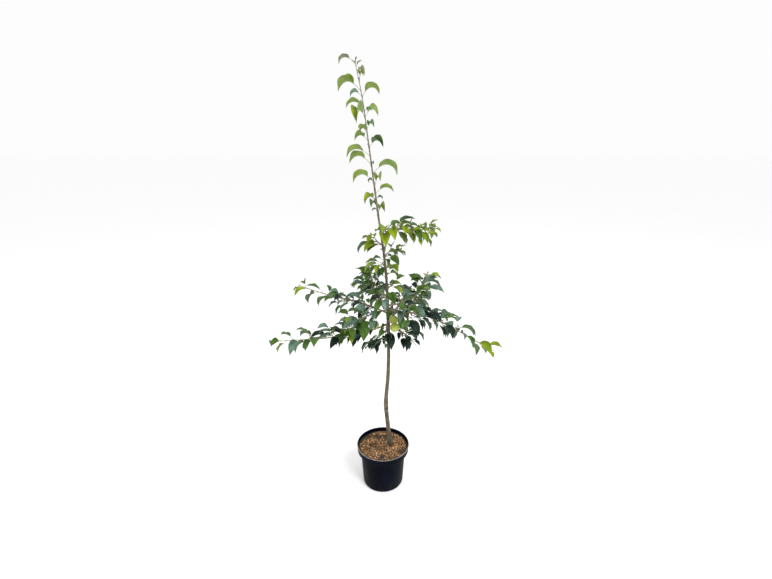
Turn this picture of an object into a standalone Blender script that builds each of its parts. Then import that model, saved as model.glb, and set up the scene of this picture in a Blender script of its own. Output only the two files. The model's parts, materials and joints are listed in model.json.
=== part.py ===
"""Young Asian pear tree in a round nursery pot.

Metres, +Z up. The origin is the centre of the pot's flat underside, +X is to the right
and -Y is the front. The tree is one slim trunk with short boughs. Each bough carries a
mass of foliage: a shoot with side twigs, leaves and fruit, grown by one seeded rule that
keeps every mass in its own space. Spurs and the leader are masses that meet the trunk.
"""
import math
import random
from dataclasses import dataclass

import bmesh
import bpy
import numpy as np

# Pot
POT_HEIGHT = 0.200
RIM_DIAMETER = 0.240
BAND_HEIGHT = 0.030
BAND_LOW_DIAMETER = 0.235
WALL_TOP_DIAMETER = 0.206
WALL_LOW_DIAMETER = 0.186
UNDERSIDE_DIAMETER = 0.166
CORNER_HEIGHT = 0.010
POT_THICKNESS = 0.0025
POT_SIDES = 40
DRAIN_HOLES = 8
DRAIN_HOLE_DIAMETER = 0.011
DRAIN_RING_DIAMETER = 0.130

# Compost and bark mulch that fills the pot
SOIL_HEIGHT = 0.1837
SOIL_EDGE_DROP = 0.005
SOIL_LEVEL_DIAMETER = 0.110

# Clear fit between neighbouring pieces
FIT_GAP = 0.0003

# Trunk line: height, then how far the centre lies to the right and to the back
TRUNK_LINE = (
    (0.184, 0.035, 0.008),
    (0.290, 0.023, 0.010),
    (0.400, 0.014, 0.006),
    (0.560, 0.023, 0.000),
    (0.860, 0.022, 0.000),
    (1.030, 0.013, 0.002),
    (1.260, -0.017, 0.000),
    (1.500, -0.048, -0.002),
    (1.700, -0.076, 0.000),
    (1.785, -0.094, 0.002),
)
TRUNK_FOOT_RADIUS = 0.0104
TRUNK_TIP_RADIUS = 0.0012
TRUNK_TAPER_POWER = 1.15
FLARE_RADIUS = 0.0045
FLARE_HEIGHT = 0.022
FLARE_LOBES = 4
LOBE_DEPTH = 0.16
GRAFT_HEIGHT = 0.405
GRAFT_SWELL = 0.0016
GRAFT_LENGTH = 0.030
TRUNK_TOP = 1.245
TRUNK_RINGS = 32
RING_CROWDING = 1.35
TRUNK_SIDES = 12

# Leaves, twigs and fruit
LEAF_THICKNESS = 0.0014
LEAF_FOLD = 34.0
LEAF_WIDTH_SHARE = 0.58
PETIOLE_SHARE = 0.42
PETIOLE_RADIUS = 0.0011
BLADE_STATIONS = (0.0, 0.28, 0.68)
TWIG_RADIUS = 0.0014
TWIG_TIP_RADIUS = 0.0010
TWIG_SIDES = 4
STEM_SIDES = 5
STEM_SPACING = 0.030
BOUGH_SIDES = 8
FRUIT_RADIUS = 0.0185
FRUIT_STALK_RADIUS = 0.0012
FRUIT_SIDES = 8
FRUIT_RINGS = 6

# Rule of growth. A pair is the range that a seeded draw is taken from
BUD_TURN = 144.0
LEAN_STRAY = 8.0
NECK_SLOPE = 15.0
NECK_SHARE = 0.35
STEEPEST_TIP = -86.0
BLADE_RANGE = (0.62, 1.14)
PETIOLE_RANGE = (0.8, 1.2)
WIDTH_RANGE = (0.9, 1.1)
LEAF_ROLL = 35.0
SPACING_RANGE = (0.6, 1.3)
TWIG_LEAN = 48.0
TWIG_RANGE = (0.022, 0.055)
TWIG_RISE = 40.0
TWIG_BUDS = (0.40, 0.60, 0.80, 0.95)
TWIG_LEAF_SHARE = 0.9
YOUNG_SHARE = 0.5
YOUNG_GAIN = 8.0
TRIES = 16
FIRST_STRAY = 16.0
MORE_STRAY = 9.0
TWIGGY_SHARE = 0.62
SPACE_MARGIN = 0.003
LEAF_CLEARANCE = 0.0075
LIMB_CLEARANCE = 0.0060
SAMPLE_STEP = 0.010
PATH_STEPS = 48


@dataclass
class Limb:
    """A bough with the shoot that carries on from it. A spur has no bare bough.

    height is where it leaves the trunk, heading turns anticlockwise from +X seen from
    above, rise is the slope above level at its foot, middle and tip, all in degrees.
    """

    name: str
    height: float
    heading: float
    rise: tuple
    length: float
    bare: float
    seeds: tuple
    leaf: float = 0.076
    spacing: float = 0.030
    first_bud: float = 0.010
    foot_radius: float = 0.0036
    lean_out: float = 56.0
    droop: tuple = (45.0, 95.0)
    twigs: int = 0
    fruits: tuple = ()
    reach: float = 0.180


# Fruit: how far out along its limb, how far to the limb's left, how far its centre hangs
RIGHT_FRUITS = ((0.045, 0.000, 0.044), (0.088, -0.022, 0.062))
LEFT_FRUITS = ((0.072, 0.000, 0.052),)

LIMBS = [
    Limb("left_low", 0.800, 190, (-22, -2, -1), 0.490, 0.050, (1241, 1298, 1188, 1251), twigs=4),
    Limb("left_mid", 0.846, 172, (26, 12, 22), 0.395, 0.060, (1062, 1124, 1120), twigs=3),
    Limb("left_up", 0.857, 150, (40, 64, 104), 0.212, 0.040, (1155, 1014), twigs=2),
    Limb("right_low", 0.845, -12, (20, -23, -22), 0.466, 0.060, (1309, 1191, 1183, 1212), twigs=4),
    Limb("right_up", 0.883, 20, (-4, 32, 88), 0.241, 0.050, (1309, 1072), twigs=2),
    Limb("right_high", 1.195, -5, (20, -4, 38), 0.216, 0.020, (1000, 1008), twigs=1),
    Limb("front_right", 0.872, -58, (5, 5, -15), 0.190, 0.030, (1104, 1135), twigs=2, fruits=RIGHT_FRUITS),
    Limb("front_left", 0.862, 220, (8, -6, -20), 0.210, 0.040, (1296, 1314), twigs=2, fruits=LEFT_FRUITS),
    Limb("front_up", 0.905, 262, (35, 30, 5), 0.120, 0.020, (1143,), twigs=1),
    Limb("back_left", 0.868, 118, (25, 10, 8), 0.290, 0.055, (1186, 1185), twigs=3),
    Limb("back_right", 0.826, 62, (20, 2, 4), 0.310, 0.060, (1159, 1310), twigs=3),
    Limb("low_left", 0.772, 212, (-10, -35, -50), 0.110, 0.020, (1062,), twigs=1),
    Limb("low_right", 0.790, -28, (0, -25, -45), 0.140, 0.020, (1171,), twigs=1),
    Limb("low_front", 0.820, 262, (0, -35, -60), 0.120, 0.020, (1201,)),
]

# Leafy spurs up the trunk, each turned from the one below as buds on a pear shoot are
SPUR_SEEDS = (1187, 1091, 1208, 1259, 1111, 1256)
SPUR_FIRST_HEIGHT = 0.955
SPUR_STEP = 0.045
SPUR_FIRST_HEADING = 320.0
SPUR_LENGTH = 0.045
for spur, spur_seed in enumerate(SPUR_SEEDS):
    LIMBS.append(
        Limb(
            f"spur_{spur + 1}",
            SPUR_FIRST_HEIGHT + SPUR_STEP * spur,
            SPUR_FIRST_HEADING + BUD_TURN * spur,
            (35, 40, 45),
            SPUR_LENGTH,
            0.0,
            seeds=(spur_seed,),
            spacing=0.006,
            foot_radius=0.0022,
        )
    )

LEADER = Limb(
    "leader",
    TRUNK_TOP,
    0,
    (90, 90, 90),
    0.540,
    0.0,
    seeds=(1456, 1203, 1505, 1352, 1745),
    leaf=0.094,
    spacing=0.027,
    lean_out=40.0,
    droop=(90.0, 125.0),
)


# Trunk and limb lines

def trunk_centre(height):
    """Centre of the trunk at a height, on a smooth line through TRUNK_LINE."""
    line = np.array(TRUNK_LINE)
    slope = np.gradient(line[:, 1:], line[:, 0], axis=0)
    row = int(np.clip(np.searchsorted(line[:, 0], height) - 1, 0, len(line) - 2))
    run = line[row + 1, 0] - line[row, 0]
    t = (height - line[row, 0]) / run
    place = (
        (2 * t**3 - 3 * t**2 + 1) * line[row, 1:]
        + (t**3 - 2 * t**2 + t) * run * slope[row]
        + (3 * t**2 - 2 * t**3) * line[row + 1, 1:]
        + (t**3 - t**2) * run * slope[row + 1]
    )
    return np.array([place[0], place[1], height])


def trunk_radius(height):
    """Radius of the trunk at a height: an even taper, the foot's flare and the graft."""
    foot = TRUNK_LINE[0][0]
    top = TRUNK_LINE[-1][0]
    share = np.clip((top - height) / (top - foot), 0.0, 1.0) ** TRUNK_TAPER_POWER
    flare = FLARE_RADIUS * math.exp(-max(height - foot, 0.0) / FLARE_HEIGHT)
    graft = GRAFT_SWELL * math.exp(-(((height - GRAFT_HEIGHT) / GRAFT_LENGTH) ** 2))
    return TRUNK_TIP_RADIUS + (TRUNK_FOOT_RADIUS - TRUNK_TIP_RADIUS) * share + flare + graft


def direction(heading, rise):
    """Unit vector for a heading and a slope in degrees."""
    level = math.cos(math.radians(rise))
    turn = math.radians(heading)
    return np.array([level * math.cos(turn), level * math.sin(turn), math.sin(math.radians(rise))])


def limb_line(limb):
    """Centre points of a limb from the trunk's axis to its tip."""
    foot, middle, tip = limb.rise
    step = limb.length / PATH_STEPS
    points = [trunk_centre(limb.height)]
    for index in range(PATH_STEPS):
        t = (index + 0.5) / PATH_STEPS
        rise = foot * (1 - t) * (1 - 2 * t) + middle * 4 * t * (1 - t) + tip * t * (2 * t - 1)
        points.append(points[-1] + step * direction(limb.heading, rise))
    return np.array(points)


def leader_line():
    """Centre points of the leader, which carries the trunk's line on to the tip."""
    heights = np.linspace(TRUNK_TOP + FIT_GAP, TRUNK_LINE[-1][0], PATH_STEPS + 1)
    return np.array([trunk_centre(height) for height in heights])


class Shoot:
    """A stem: its centre line, its radius from foot to tip and its length."""

    def __init__(self, line, foot_radius, tip_radius):
        steps = np.linalg.norm(np.diff(line, axis=0), axis=1)
        self.line = line
        self.marks = np.concatenate([[0.0], np.cumsum(steps)])
        self.length = self.marks[-1]
        self.foot_radius = foot_radius
        self.tip_radius = tip_radius

    def point(self, distance):
        return np.array([np.interp(distance, self.marks, self.line[:, axis]) for axis in range(3)])

    def forward(self, distance):
        step = 0.02 * self.length
        ahead = self.point(min(distance + step, self.length)) - self.point(max(distance - step, 0.0))
        return ahead / np.linalg.norm(ahead)

    def radius(self, distance):
        share = distance / self.length
        return self.foot_radius + (self.tip_radius - self.foot_radius) * share

    def samples(self):
        marks = np.linspace(0.0, self.length, max(2, round(self.length / SAMPLE_STEP) + 1))
        return np.array([self.point(mark) for mark in marks])


def split_limb(limb):
    """The bare bough, or None on a spur, and the shoot that carries on from it."""
    whole = Shoot(limb_line(limb), limb.foot_radius, TWIG_TIP_RADIUS)
    bough = None
    start = 0.0
    if limb.bare > 0.0:
        marks = np.linspace(0.0, limb.bare, 9)
        line = np.array([whole.point(mark) for mark in marks])
        bough = Shoot(line, limb.foot_radius, whole.radius(limb.bare))
        start = limb.bare + FIT_GAP
    marks = np.linspace(start, limb.length, PATH_STEPS + 1)
    line = np.array([whole.point(mark) for mark in marks])
    shoot = Shoot(line, whole.radius(start), TWIG_TIP_RADIUS)
    return bough, shoot


def hang_fruits(limb):
    """Stalk and centre of each fruit, which hangs beside its limb."""
    whole = Shoot(limb_line(limb), limb.foot_radius, TWIG_TIP_RADIUS)
    left = direction(limb.heading + 90.0, 0.0)
    fruits = []
    for along, sideways, drop in limb.fruits:
        root = whole.point(along)
        centre = root + left * sideways - np.array([0.0, 0.0, drop])
        top = centre + np.array([0.0, 0.0, 0.9 * FRUIT_RADIUS])
        shoulder = 0.5 * (root + top) + 0.006 * whole.forward(along)
        t = np.linspace(0.0, 1.0, 5)[:, None]
        bend = (1 - t) ** 2 * root + 2 * t * (1 - t) * shoulder + t**2 * top
        fruits.append((Shoot(bend, FRUIT_STALK_RADIUS, FRUIT_STALK_RADIUS), centre))
    return fruits


def fruit_samples(centre):
    """Points spread over a fruit's skin."""
    skin = [direction(turn, rise) for rise in (-90, -50, -15, 15, 50, 90) for turn in range(0, 360, 60)]
    return centre + FRUIT_RADIUS * np.array(skin)


# Leaves: a petiole and a folded blade along two arcs in one upright plane

@dataclass
class Leaf:
    """Place and shape of one leaf. Slopes are in degrees at foot, neck and tip."""

    foot: np.ndarray
    heading: float
    slopes: tuple
    petiole: float
    blade: float
    width: float
    roll: float


def arc(start, end, length, share):
    """Distance out, distance up and slope after a share of an arc between two slopes."""
    first = math.radians(start)
    turn = math.radians(end - start)
    slope = first + turn * share
    if abs(turn) < 0.001:
        return length * share * math.cos(first), length * share * math.sin(first), slope
    out = length / turn * (math.sin(slope) - math.sin(first))
    up = length / turn * (math.cos(first) - math.cos(slope))
    return out, up, slope


def leaf_frame(leaf, share, on_blade=True):
    """Centre, upper normal and side vector at a share of the blade or the petiole."""
    foot_slope, neck_slope, tip_slope = leaf.slopes
    if on_blade:
        out, up, _ = arc(foot_slope, neck_slope, leaf.petiole, 1.0)
        more_out, more_up, slope = arc(neck_slope, tip_slope, leaf.blade, share)
        out += more_out
        up += more_up
    else:
        out, up, slope = arc(foot_slope, neck_slope, leaf.petiole, share)
    turn = math.radians(leaf.heading)
    outward = np.array([math.cos(turn), math.sin(turn), 0.0])
    upward = np.array([0.0, 0.0, 1.0])
    side = np.array([math.sin(turn), -math.cos(turn), 0.0])
    normal = upward * math.cos(slope) - outward * math.sin(slope)
    roll = math.radians(leaf.roll)
    centre = leaf.foot + outward * out + upward * up
    return (
        centre,
        normal * math.cos(roll) - side * math.sin(roll),
        side * math.cos(roll) + normal * math.sin(roll),
    )


def half_width(leaf, share):
    """Half the blade's width at a share of its length: ovate with a drawn-out tip."""
    return 0.5 * leaf.width * math.sin(math.pi * share**0.8)


def blade_samples(leaf):
    """Points spread over the blade, to test its clearance."""
    fold = math.radians(LEAF_FOLD)
    points = []
    for share in (0.0, 0.12, 0.25, 0.38, 0.51, 0.64, 0.77, 0.90, 1.0):
        centre, normal, side = leaf_frame(leaf, share)
        half = half_width(leaf, share) if share < 1.0 else 0.0
        for across in (-1.0, -0.5, 0.0, 0.5, 1.0):
            offset = side * across * math.cos(fold) + normal * abs(across) * math.sin(fold)
            points.append(centre + half * offset)
    return np.array(points)


def petiole_samples(leaf):
    """Points along the outer half of the petiole."""
    return np.array([leaf_frame(leaf, share, on_blade=False)[0] for share in (0.5, 0.7, 0.9)])


# Rule of growth

def distances(points, others):
    """Distance from each point to each of the others."""
    return np.linalg.norm(points[:, None, :] - others[None, :, :], axis=2)


class Crown:
    """Every limb's line, and the test that keeps a mass in its own space."""

    def __init__(self):
        heights = np.arange(TRUNK_LINE[0][0], TRUNK_TOP, SAMPLE_STEP)
        self.wood = [np.array([trunk_centre(height) for height in heights])]
        self.wood_radius = [np.array([trunk_radius(height) for height in heights])]
        self.boughs = {}
        self.shoots = {}
        self.fruits = {LEADER.name: []}
        for limb in LIMBS:
            bough, shoot = split_limb(limb)
            self.shoots[limb.name] = shoot
            self.fruits[limb.name] = hang_fruits(limb)
            if bough:
                self.boughs[limb.name] = bough
                self.wood.append(bough.samples())
                self.wood_radius.append(np.full(len(self.wood[-1]), bough.foot_radius))
        self.shoots[LEADER.name] = Shoot(leader_line(), trunk_radius(TRUNK_TOP), TRUNK_TIP_RADIUS)
        self.wood = np.concatenate(self.wood)
        self.wood_radius = np.concatenate(self.wood_radius)
        self.stems = {name: shoot.samples() for name, shoot in self.shoots.items()}
        self.spines = dict(self.stems)
        for name, fruits in self.fruits.items():
            for stalk, centre in fruits:
                self.spines[name] = np.concatenate([self.spines[name], stalk.samples(), centre[None]])

    def in_own_space(self, points, limb):
        """Nearer to its own stem and fruit than to any other mass's, and within reach."""
        own = distances(points, self.spines[limb.name]).min(axis=1)
        if own.max() > limb.reach:
            return False
        others = np.concatenate([line for name, line in self.spines.items() if name != limb.name])
        return bool((own + SPACE_MARGIN < distances(points, others).min(axis=1)).all())

    def clear_of_wood(self, points, margin=LIMB_CLEARANCE):
        gaps = distances(points, self.wood) - self.wood_radius
        return gaps.min() > margin


class Mass:
    """One mass of foliage: its stem, side twigs, leaves and fruit."""

    def __init__(self, crown, limb):
        self.crown = crown
        self.limb = limb
        self.stem = crown.shoots[limb.name]
        self.own_wood = crown.stems[limb.name]
        self.fruits = crown.fruits[limb.name]
        skins = [fruit_samples(centre) for _, centre in self.fruits]
        self.filled = np.concatenate([np.zeros((0, 3))] + skins)
        self.twigs = []
        self.leaves = []
        self.distance = limb.first_bud

    def bud_direction(self, shoot, distance, lean_out, attempt):
        """Direction of a bud round the stem. It strays further with each attempt."""
        forward = shoot.forward(distance)
        reference = np.array([1.0, 0.0, 0.0]) if abs(forward[2]) > 0.8 else np.array([0.0, 0.0, 1.0])
        first = reference - forward * np.dot(reference, forward)
        first /= np.linalg.norm(first)
        second = np.cross(forward, first)
        stray = FIRST_STRAY + MORE_STRAY * attempt
        turn = math.radians(self.turn + self.draw.uniform(-stray, stray))
        lean = math.radians(lean_out + self.draw.uniform(-LEAN_STRAY, LEAN_STRAY))
        outward = first * math.cos(turn) + second * math.sin(turn)
        return forward * math.cos(lean) + outward * math.sin(lean)

    def fits(self, samples, margin):
        """In its own space, and clear of the wood and of what has grown already."""
        if not self.crown.in_own_space(samples, self.limb):
            return False
        if not self.crown.clear_of_wood(samples):
            return False
        if len(self.filled) and distances(samples, self.filled).min() < margin:
            return False
        return True

    def try_leaf(self, shoot, distance, size):
        """Grow one leaf at a bud, or leave the bud bare where none fits."""
        for attempt in range(TRIES):
            aim = self.bud_direction(shoot, distance, self.limb.lean_out, attempt)
            heading = math.degrees(math.atan2(aim[1], aim[0]))
            foot_slope = math.degrees(math.asin(np.clip(aim[2], -1.0, 1.0)))
            neck_slope = foot_slope + NECK_SHARE * (NECK_SLOPE - foot_slope)
            tip_slope = max(neck_slope - self.draw.uniform(*self.limb.droop), STEEPEST_TIP)
            blade = size * self.draw.uniform(*BLADE_RANGE)
            leaf = Leaf(
                shoot.point(distance),
                heading,
                (foot_slope, neck_slope, tip_slope),
                blade * PETIOLE_SHARE * self.draw.uniform(*PETIOLE_RANGE),
                blade,
                blade * LEAF_WIDTH_SHARE * self.draw.uniform(*WIDTH_RANGE),
                self.draw.uniform(-LEAF_ROLL, LEAF_ROLL),
            )
            samples = blade_samples(leaf)
            if distances(samples, self.own_wood).min() <= LIMB_CLEARANCE:
                continue
            if self.fits(np.concatenate([samples, petiole_samples(leaf)]), LEAF_CLEARANCE):
                self.leaves.append(leaf)
                self.filled = np.concatenate([self.filled, samples])
                return

    def try_twig(self, distance):
        """Grow a short side twig with leaves of its own, where one fits."""
        for attempt in range(TRIES):
            aim = self.bud_direction(self.stem, distance, TWIG_LEAN, attempt)
            heading = math.degrees(math.atan2(aim[1], aim[0]))
            slope = math.degrees(math.asin(np.clip(aim[2], -1.0, 1.0)))
            length = self.draw.uniform(*TWIG_RANGE)
            line = [self.stem.point(distance)]
            for step in range(6):
                rise = slope + (TWIG_RISE - slope) * step / 8
                line.append(line[-1] + length / 6 * direction(heading, rise))
            twig = Shoot(np.array(line), TWIG_RADIUS, TWIG_TIP_RADIUS)
            if self.fits(twig.samples()[1:], LIMB_CLEARANCE):
                self.twigs.append(twig)
                self.own_wood = np.concatenate([self.own_wood, twig.samples()[1:]])
                return True
        return False

    def grow_stretch(self, index, seed):
        """Grow one stretch of the shoot from its own seed. Side twigs take some buds."""
        self.draw = random.Random(seed)
        self.turn = self.draw.uniform(0.0, 360.0)
        limb = self.limb
        end = self.stem.length * (index + 1) / len(limb.seeds)
        while self.distance < end:
            self.turn += BUD_TURN
            next_twig = TWIGGY_SHARE * self.stem.length * (len(self.twigs) + 0.25) / max(limb.twigs, 1)
            if len(self.twigs) < limb.twigs and self.distance > next_twig:
                self.grow_twig(self.distance)
            else:
                young = min(1.0, YOUNG_SHARE + YOUNG_GAIN * (self.stem.length - self.distance))
                grown = 1.0 if limb.length == SPUR_LENGTH else young
                self.try_leaf(self.stem, self.distance, limb.leaf * grown)
            self.distance += limb.spacing * self.draw.uniform(*SPACING_RANGE)

    def grow_twig(self, distance):
        """A side twig with leaves of its own, or a leaf where no twig fits."""
        if not self.try_twig(distance):
            self.try_leaf(self.stem, distance, self.limb.leaf)
            return
        for share in TWIG_BUDS:
            self.turn += BUD_TURN
            self.try_leaf(self.twigs[-1], share * self.twigs[-1].length, TWIG_LEAF_SHARE * self.limb.leaf)


def grow_mass(crown, limb):
    mass = Mass(crown, limb)
    for index, seed in enumerate(limb.seeds):
        mass.grow_stretch(index, seed)
    return mass


# Meshes

def mesh_object(name, build):
    """New object whose mesh is filled by a function that works on a bmesh."""
    mesh = bpy.data.meshes.new(name)
    shape = bmesh.new()
    build(shape)
    bmesh.ops.recalc_face_normals(shape, faces=shape.faces)
    shape.to_mesh(mesh)
    shape.free()
    item = bpy.data.objects.new(name, mesh)
    bpy.context.scene.collection.objects.link(item)
    return item


def loft(shape, rings, tip=None):
    """Closed skin over rings of equal count, with a flat foot and a flat or pointed end."""
    rows = [[shape.verts.new(point) for point in ring] for ring in rings]
    count = len(rows[0])
    for lower, upper in zip(rows, rows[1:]):
        for index in range(count):
            following = (index + 1) % count
            shape.faces.new((lower[index], lower[following], upper[following], upper[index]))
    shape.faces.new(rows[0][::-1])
    if tip is None:
        shape.faces.new(rows[-1])
        return
    point = shape.verts.new(tip)
    for index in range(count):
        shape.faces.new((rows[-1][index], rows[-1][(index + 1) % count], point))


def ring_round(centre, forward, radius, sides):
    """Points of a ring square to a direction."""
    reference = np.array([1.0, 0.0, 0.0]) if abs(forward[2]) > 0.9 else np.array([0.0, 0.0, 1.0])
    first = np.cross(forward, reference)
    first /= np.linalg.norm(first)
    second = np.cross(forward, first)
    turns = [2 * math.pi * index / sides for index in range(sides)]
    return [centre + radius * (math.cos(turn) * first + math.sin(turn) * second) for turn in turns]


def stem_rings(shoot, sides, spacing):
    """Rings along a shoot, carried from one to the next without a twist."""
    count = max(2, round(shoot.length / spacing))
    marks = np.linspace(0.0, shoot.length, count + 1)
    forward = shoot.forward(0.0)
    ring = ring_round(np.zeros(3), forward, 1.0, sides)
    rings = []
    for mark in marks:
        forward = shoot.forward(mark)
        flat = [point - forward * np.dot(point, forward) for point in ring]
        ring = [point / np.linalg.norm(point) for point in flat]
        rings.append([shoot.point(mark) + shoot.radius(mark) * point for point in ring])
    return rings


def make_stem(name, shoot, sides, spacing=STEM_SPACING):
    return mesh_object(name, lambda shape: loft(shape, stem_rings(shoot, sides, spacing)))


def leaf_rings(leaf):
    """Four-sided sections: left edge, upper midrib, right edge and lower midrib."""
    fold = math.radians(LEAF_FOLD)
    centre, normal, side = leaf_frame(leaf, 0.0, on_blade=False)
    sections = [(centre, normal, side, PETIOLE_RADIUS, 0.0)]
    for share in BLADE_STATIONS:
        centre, normal, side = leaf_frame(leaf, share)
        half = max(half_width(leaf, share), PETIOLE_RADIUS)
        sections.append((centre, normal, side, half, fold if share > 0.0 else 0.0))
    rings = []
    for centre, normal, side, half, tilt in sections:
        deep = PETIOLE_RADIUS if half == PETIOLE_RADIUS else 0.5 * LEAF_THICKNESS
        edge = normal * half * math.sin(tilt)
        across = side * half * math.cos(tilt)
        left = centre - across + edge
        right = centre + across + edge
        rings.append([left, centre + normal * deep, right, centre - normal * deep])
    return rings, leaf_frame(leaf, 1.0)[0]


def make_leaf(name, leaf):
    rings, tip = leaf_rings(leaf)
    return mesh_object(name, lambda shape: loft(shape, rings, tip))


def make_fruit(name, centre):
    def ball(shape):
        bmesh.ops.create_uvsphere(
            shape, u_segments=FRUIT_SIDES, v_segments=FRUIT_RINGS, radius=FRUIT_RADIUS
        )
        bmesh.ops.translate(shape, vec=centre, verts=shape.verts)

    return mesh_object(name, ball)


def revolve(shape, profile, sides):
    """Closed body of revolution about +Z. A point on the axis closes as a fan."""
    rows = []
    for radius, height in profile:
        turns = [0.0] if radius == 0.0 else [2 * math.pi * index / sides for index in range(sides)]
        rows.append([shape.verts.new((radius * math.cos(t), radius * math.sin(t), height)) for t in turns])
    for lower, upper in zip(rows, rows[1:] + rows[:1]):
        if len(lower) == 1 and len(upper) == 1:
            continue
        for index in range(sides):
            following = (index + 1) % sides
            corners = [
                lower[index % len(lower)],
                lower[following % len(lower)],
                upper[following % len(upper)],
                upper[index % len(upper)],
            ]
            shape.faces.new(list(dict.fromkeys(corners)))


# Joining and cutting

def evaluated_mesh(item):
    graph = bpy.context.evaluated_depsgraph_get()
    return bpy.data.meshes.new_from_object(item.evaluated_get(graph))


def apply_modifiers(item):
    mesh = evaluated_mesh(item)
    item.modifiers.clear()
    item.data = mesh


def unite(item, pieces):
    """Fuse the pieces to the item with one Boolean on a collection of them."""
    group = bpy.data.collections.new(item.name + "_pieces")
    for piece in pieces:
        bpy.context.scene.collection.objects.unlink(piece)
        group.objects.link(piece)
    fuse = item.modifiers.new("Fuse", "BOOLEAN")
    fuse.operation = "UNION"
    fuse.operand_type = "COLLECTION"
    fuse.collection = group
    fuse.solver = "EXACT"
    apply_modifiers(item)
    for piece in pieces:
        bpy.data.objects.remove(piece)
    bpy.data.collections.remove(group)


def cut(item, cutter):
    """Cut the item clear of the cutter, which is only a guide."""
    cutter.hide_render = True
    cutter.display_type = "WIRE"
    clear = item.modifiers.new("Clear", "BOOLEAN")
    clear.operation = "DIFFERENCE"
    clear.solver = "EXACT"
    clear.object = cutter


# Finishes: colour, roughness and metallic value

FINISHES = {
    "plastic": ((0.012, 0.014, 0.022, 1.0), 0.42, 0.0),
    "mulch": ((0.260, 0.150, 0.080, 1.0), 0.95, 0.0),
    "bark": ((0.180, 0.145, 0.100, 1.0), 0.80, 0.0),
    "young bark": ((0.190, 0.120, 0.085, 1.0), 0.60, 0.0),
    "foliage": ((0.070, 0.150, 0.045, 1.0), 0.45, 0.0),
}


def finish(item, kind):
    colour, roughness, metallic = FINISHES[kind]
    material = bpy.data.materials.new(item.name + "_" + kind.replace(" ", "_"))
    material.use_nodes = True
    surface = material.node_tree.nodes["Principled BSDF"]
    surface.inputs["Base Color"].default_value = colour
    surface.inputs["Roughness"].default_value = roughness
    surface.inputs["Metallic"].default_value = metallic
    item.data.materials.clear()
    item.data.materials.append(material)


# Sub-parts

def pot_outside():
    """Outer profile from the centre of the underside to the top of the rim."""
    wall_low = WALL_LOW_DIAMETER / 2
    underside = UNDERSIDE_DIAMETER / 2
    corner = wall_low - underside
    profile = [(0.0, 0.0)]
    for step in range(4):
        turn = math.pi / 2 * step / 3
        profile.append((underside + corner * math.sin(turn), CORNER_HEIGHT * (1 - math.cos(turn))))
    band_low = POT_HEIGHT - BAND_HEIGHT
    profile.append((WALL_TOP_DIAMETER / 2, band_low - 0.008))
    profile.append((WALL_TOP_DIAMETER / 2 + 0.004, band_low - 0.001))
    profile.append((BAND_LOW_DIAMETER / 2, band_low))
    profile.append((RIM_DIAMETER / 2, POT_HEIGHT - 0.003))
    profile.append((RIM_DIAMETER / 2 - 0.001, POT_HEIGHT))
    return profile


def pot_inside():
    """Inner profile from the rim down to the centre of the floor."""
    band_low = POT_HEIGHT - BAND_HEIGHT
    thick = POT_THICKNESS
    floor_radius = UNDERSIDE_DIAMETER / 2
    return [
        (RIM_DIAMETER / 2 - thick - 0.001, POT_HEIGHT),
        (BAND_LOW_DIAMETER / 2 - thick, band_low + 2 * thick),
        (WALL_TOP_DIAMETER / 2 - thick, band_low - 0.008),
        (WALL_LOW_DIAMETER / 2 - thick, CORNER_HEIGHT),
        (floor_radius, thick),
        (0.0, thick),
    ]


def make_pot():
    pot = mesh_object("pot", lambda shape: revolve(shape, pot_outside() + pot_inside(), POT_SIDES))

    def drains(shape):
        for index in range(DRAIN_HOLES):
            turn = 2 * math.pi * (index + 0.5) / DRAIN_HOLES
            made = bmesh.ops.create_cone(
                shape,
                cap_ends=True,
                segments=12,
                radius1=DRAIN_HOLE_DIAMETER / 2,
                radius2=DRAIN_HOLE_DIAMETER / 2,
                depth=4 * POT_THICKNESS,
            )
            place = DRAIN_RING_DIAMETER / 2 * direction(math.degrees(turn), 0.0)
            bmesh.ops.translate(shape, vec=place, verts=made["verts"])

    cut(pot, mesh_object("drain_guide", drains))
    finish(pot, "plastic")


def inner_radius(height):
    """Inner radius of the pot at a height."""
    wall = sorted((z, r) for r, z in pot_inside() if r > 0.0)
    return float(np.interp(height, [z for z, r in wall], [r for z, r in wall]))


def make_soil():
    """Filling 0.3 mm clear of the pot, its top a low mound."""
    low = POT_THICKNESS + FIT_GAP
    edge = SOIL_HEIGHT - SOIL_EDGE_DROP
    knees = [z for r, z in pot_inside() if low < z < edge]
    profile = [(0.0, low), (UNDERSIDE_DIAMETER / 2 - 2 * FIT_GAP, low)]
    profile += [(inner_radius(z) - 2 * FIT_GAP, z) for z in sorted(knees)]
    profile.append((inner_radius(edge) - 2 * FIT_GAP, edge))
    profile += [(SOIL_LEVEL_DIAMETER / 2, SOIL_HEIGHT), (0.0, SOIL_HEIGHT)]
    soil = mesh_object("soil", lambda shape: revolve(shape, profile, POT_SIDES))
    finish(soil, "mulch")


def trunk_rings(grow_by=0.0):
    """Rings up the trunk, closer together in the flare, with its lobes at the foot."""
    foot = TRUNK_LINE[0][0]
    rings = []
    for index in range(TRUNK_RINGS + 1):
        height = foot + (TRUNK_TOP - foot) * (index / TRUNK_RINGS) ** RING_CROWDING
        lobes = LOBE_DEPTH * math.exp(-(height - foot) / FLARE_HEIGHT)
        centre = trunk_centre(height)
        ring = []
        for side in range(TRUNK_SIDES):
            turn = 2 * math.pi * side / TRUNK_SIDES
            radius = trunk_radius(height) * (1 + lobes * math.cos(FLARE_LOBES * turn)) + grow_by
            ring.append(centre + radius * np.array([math.cos(turn), math.sin(turn), 0.0]))
        rings.append(ring)
    return rings


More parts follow.
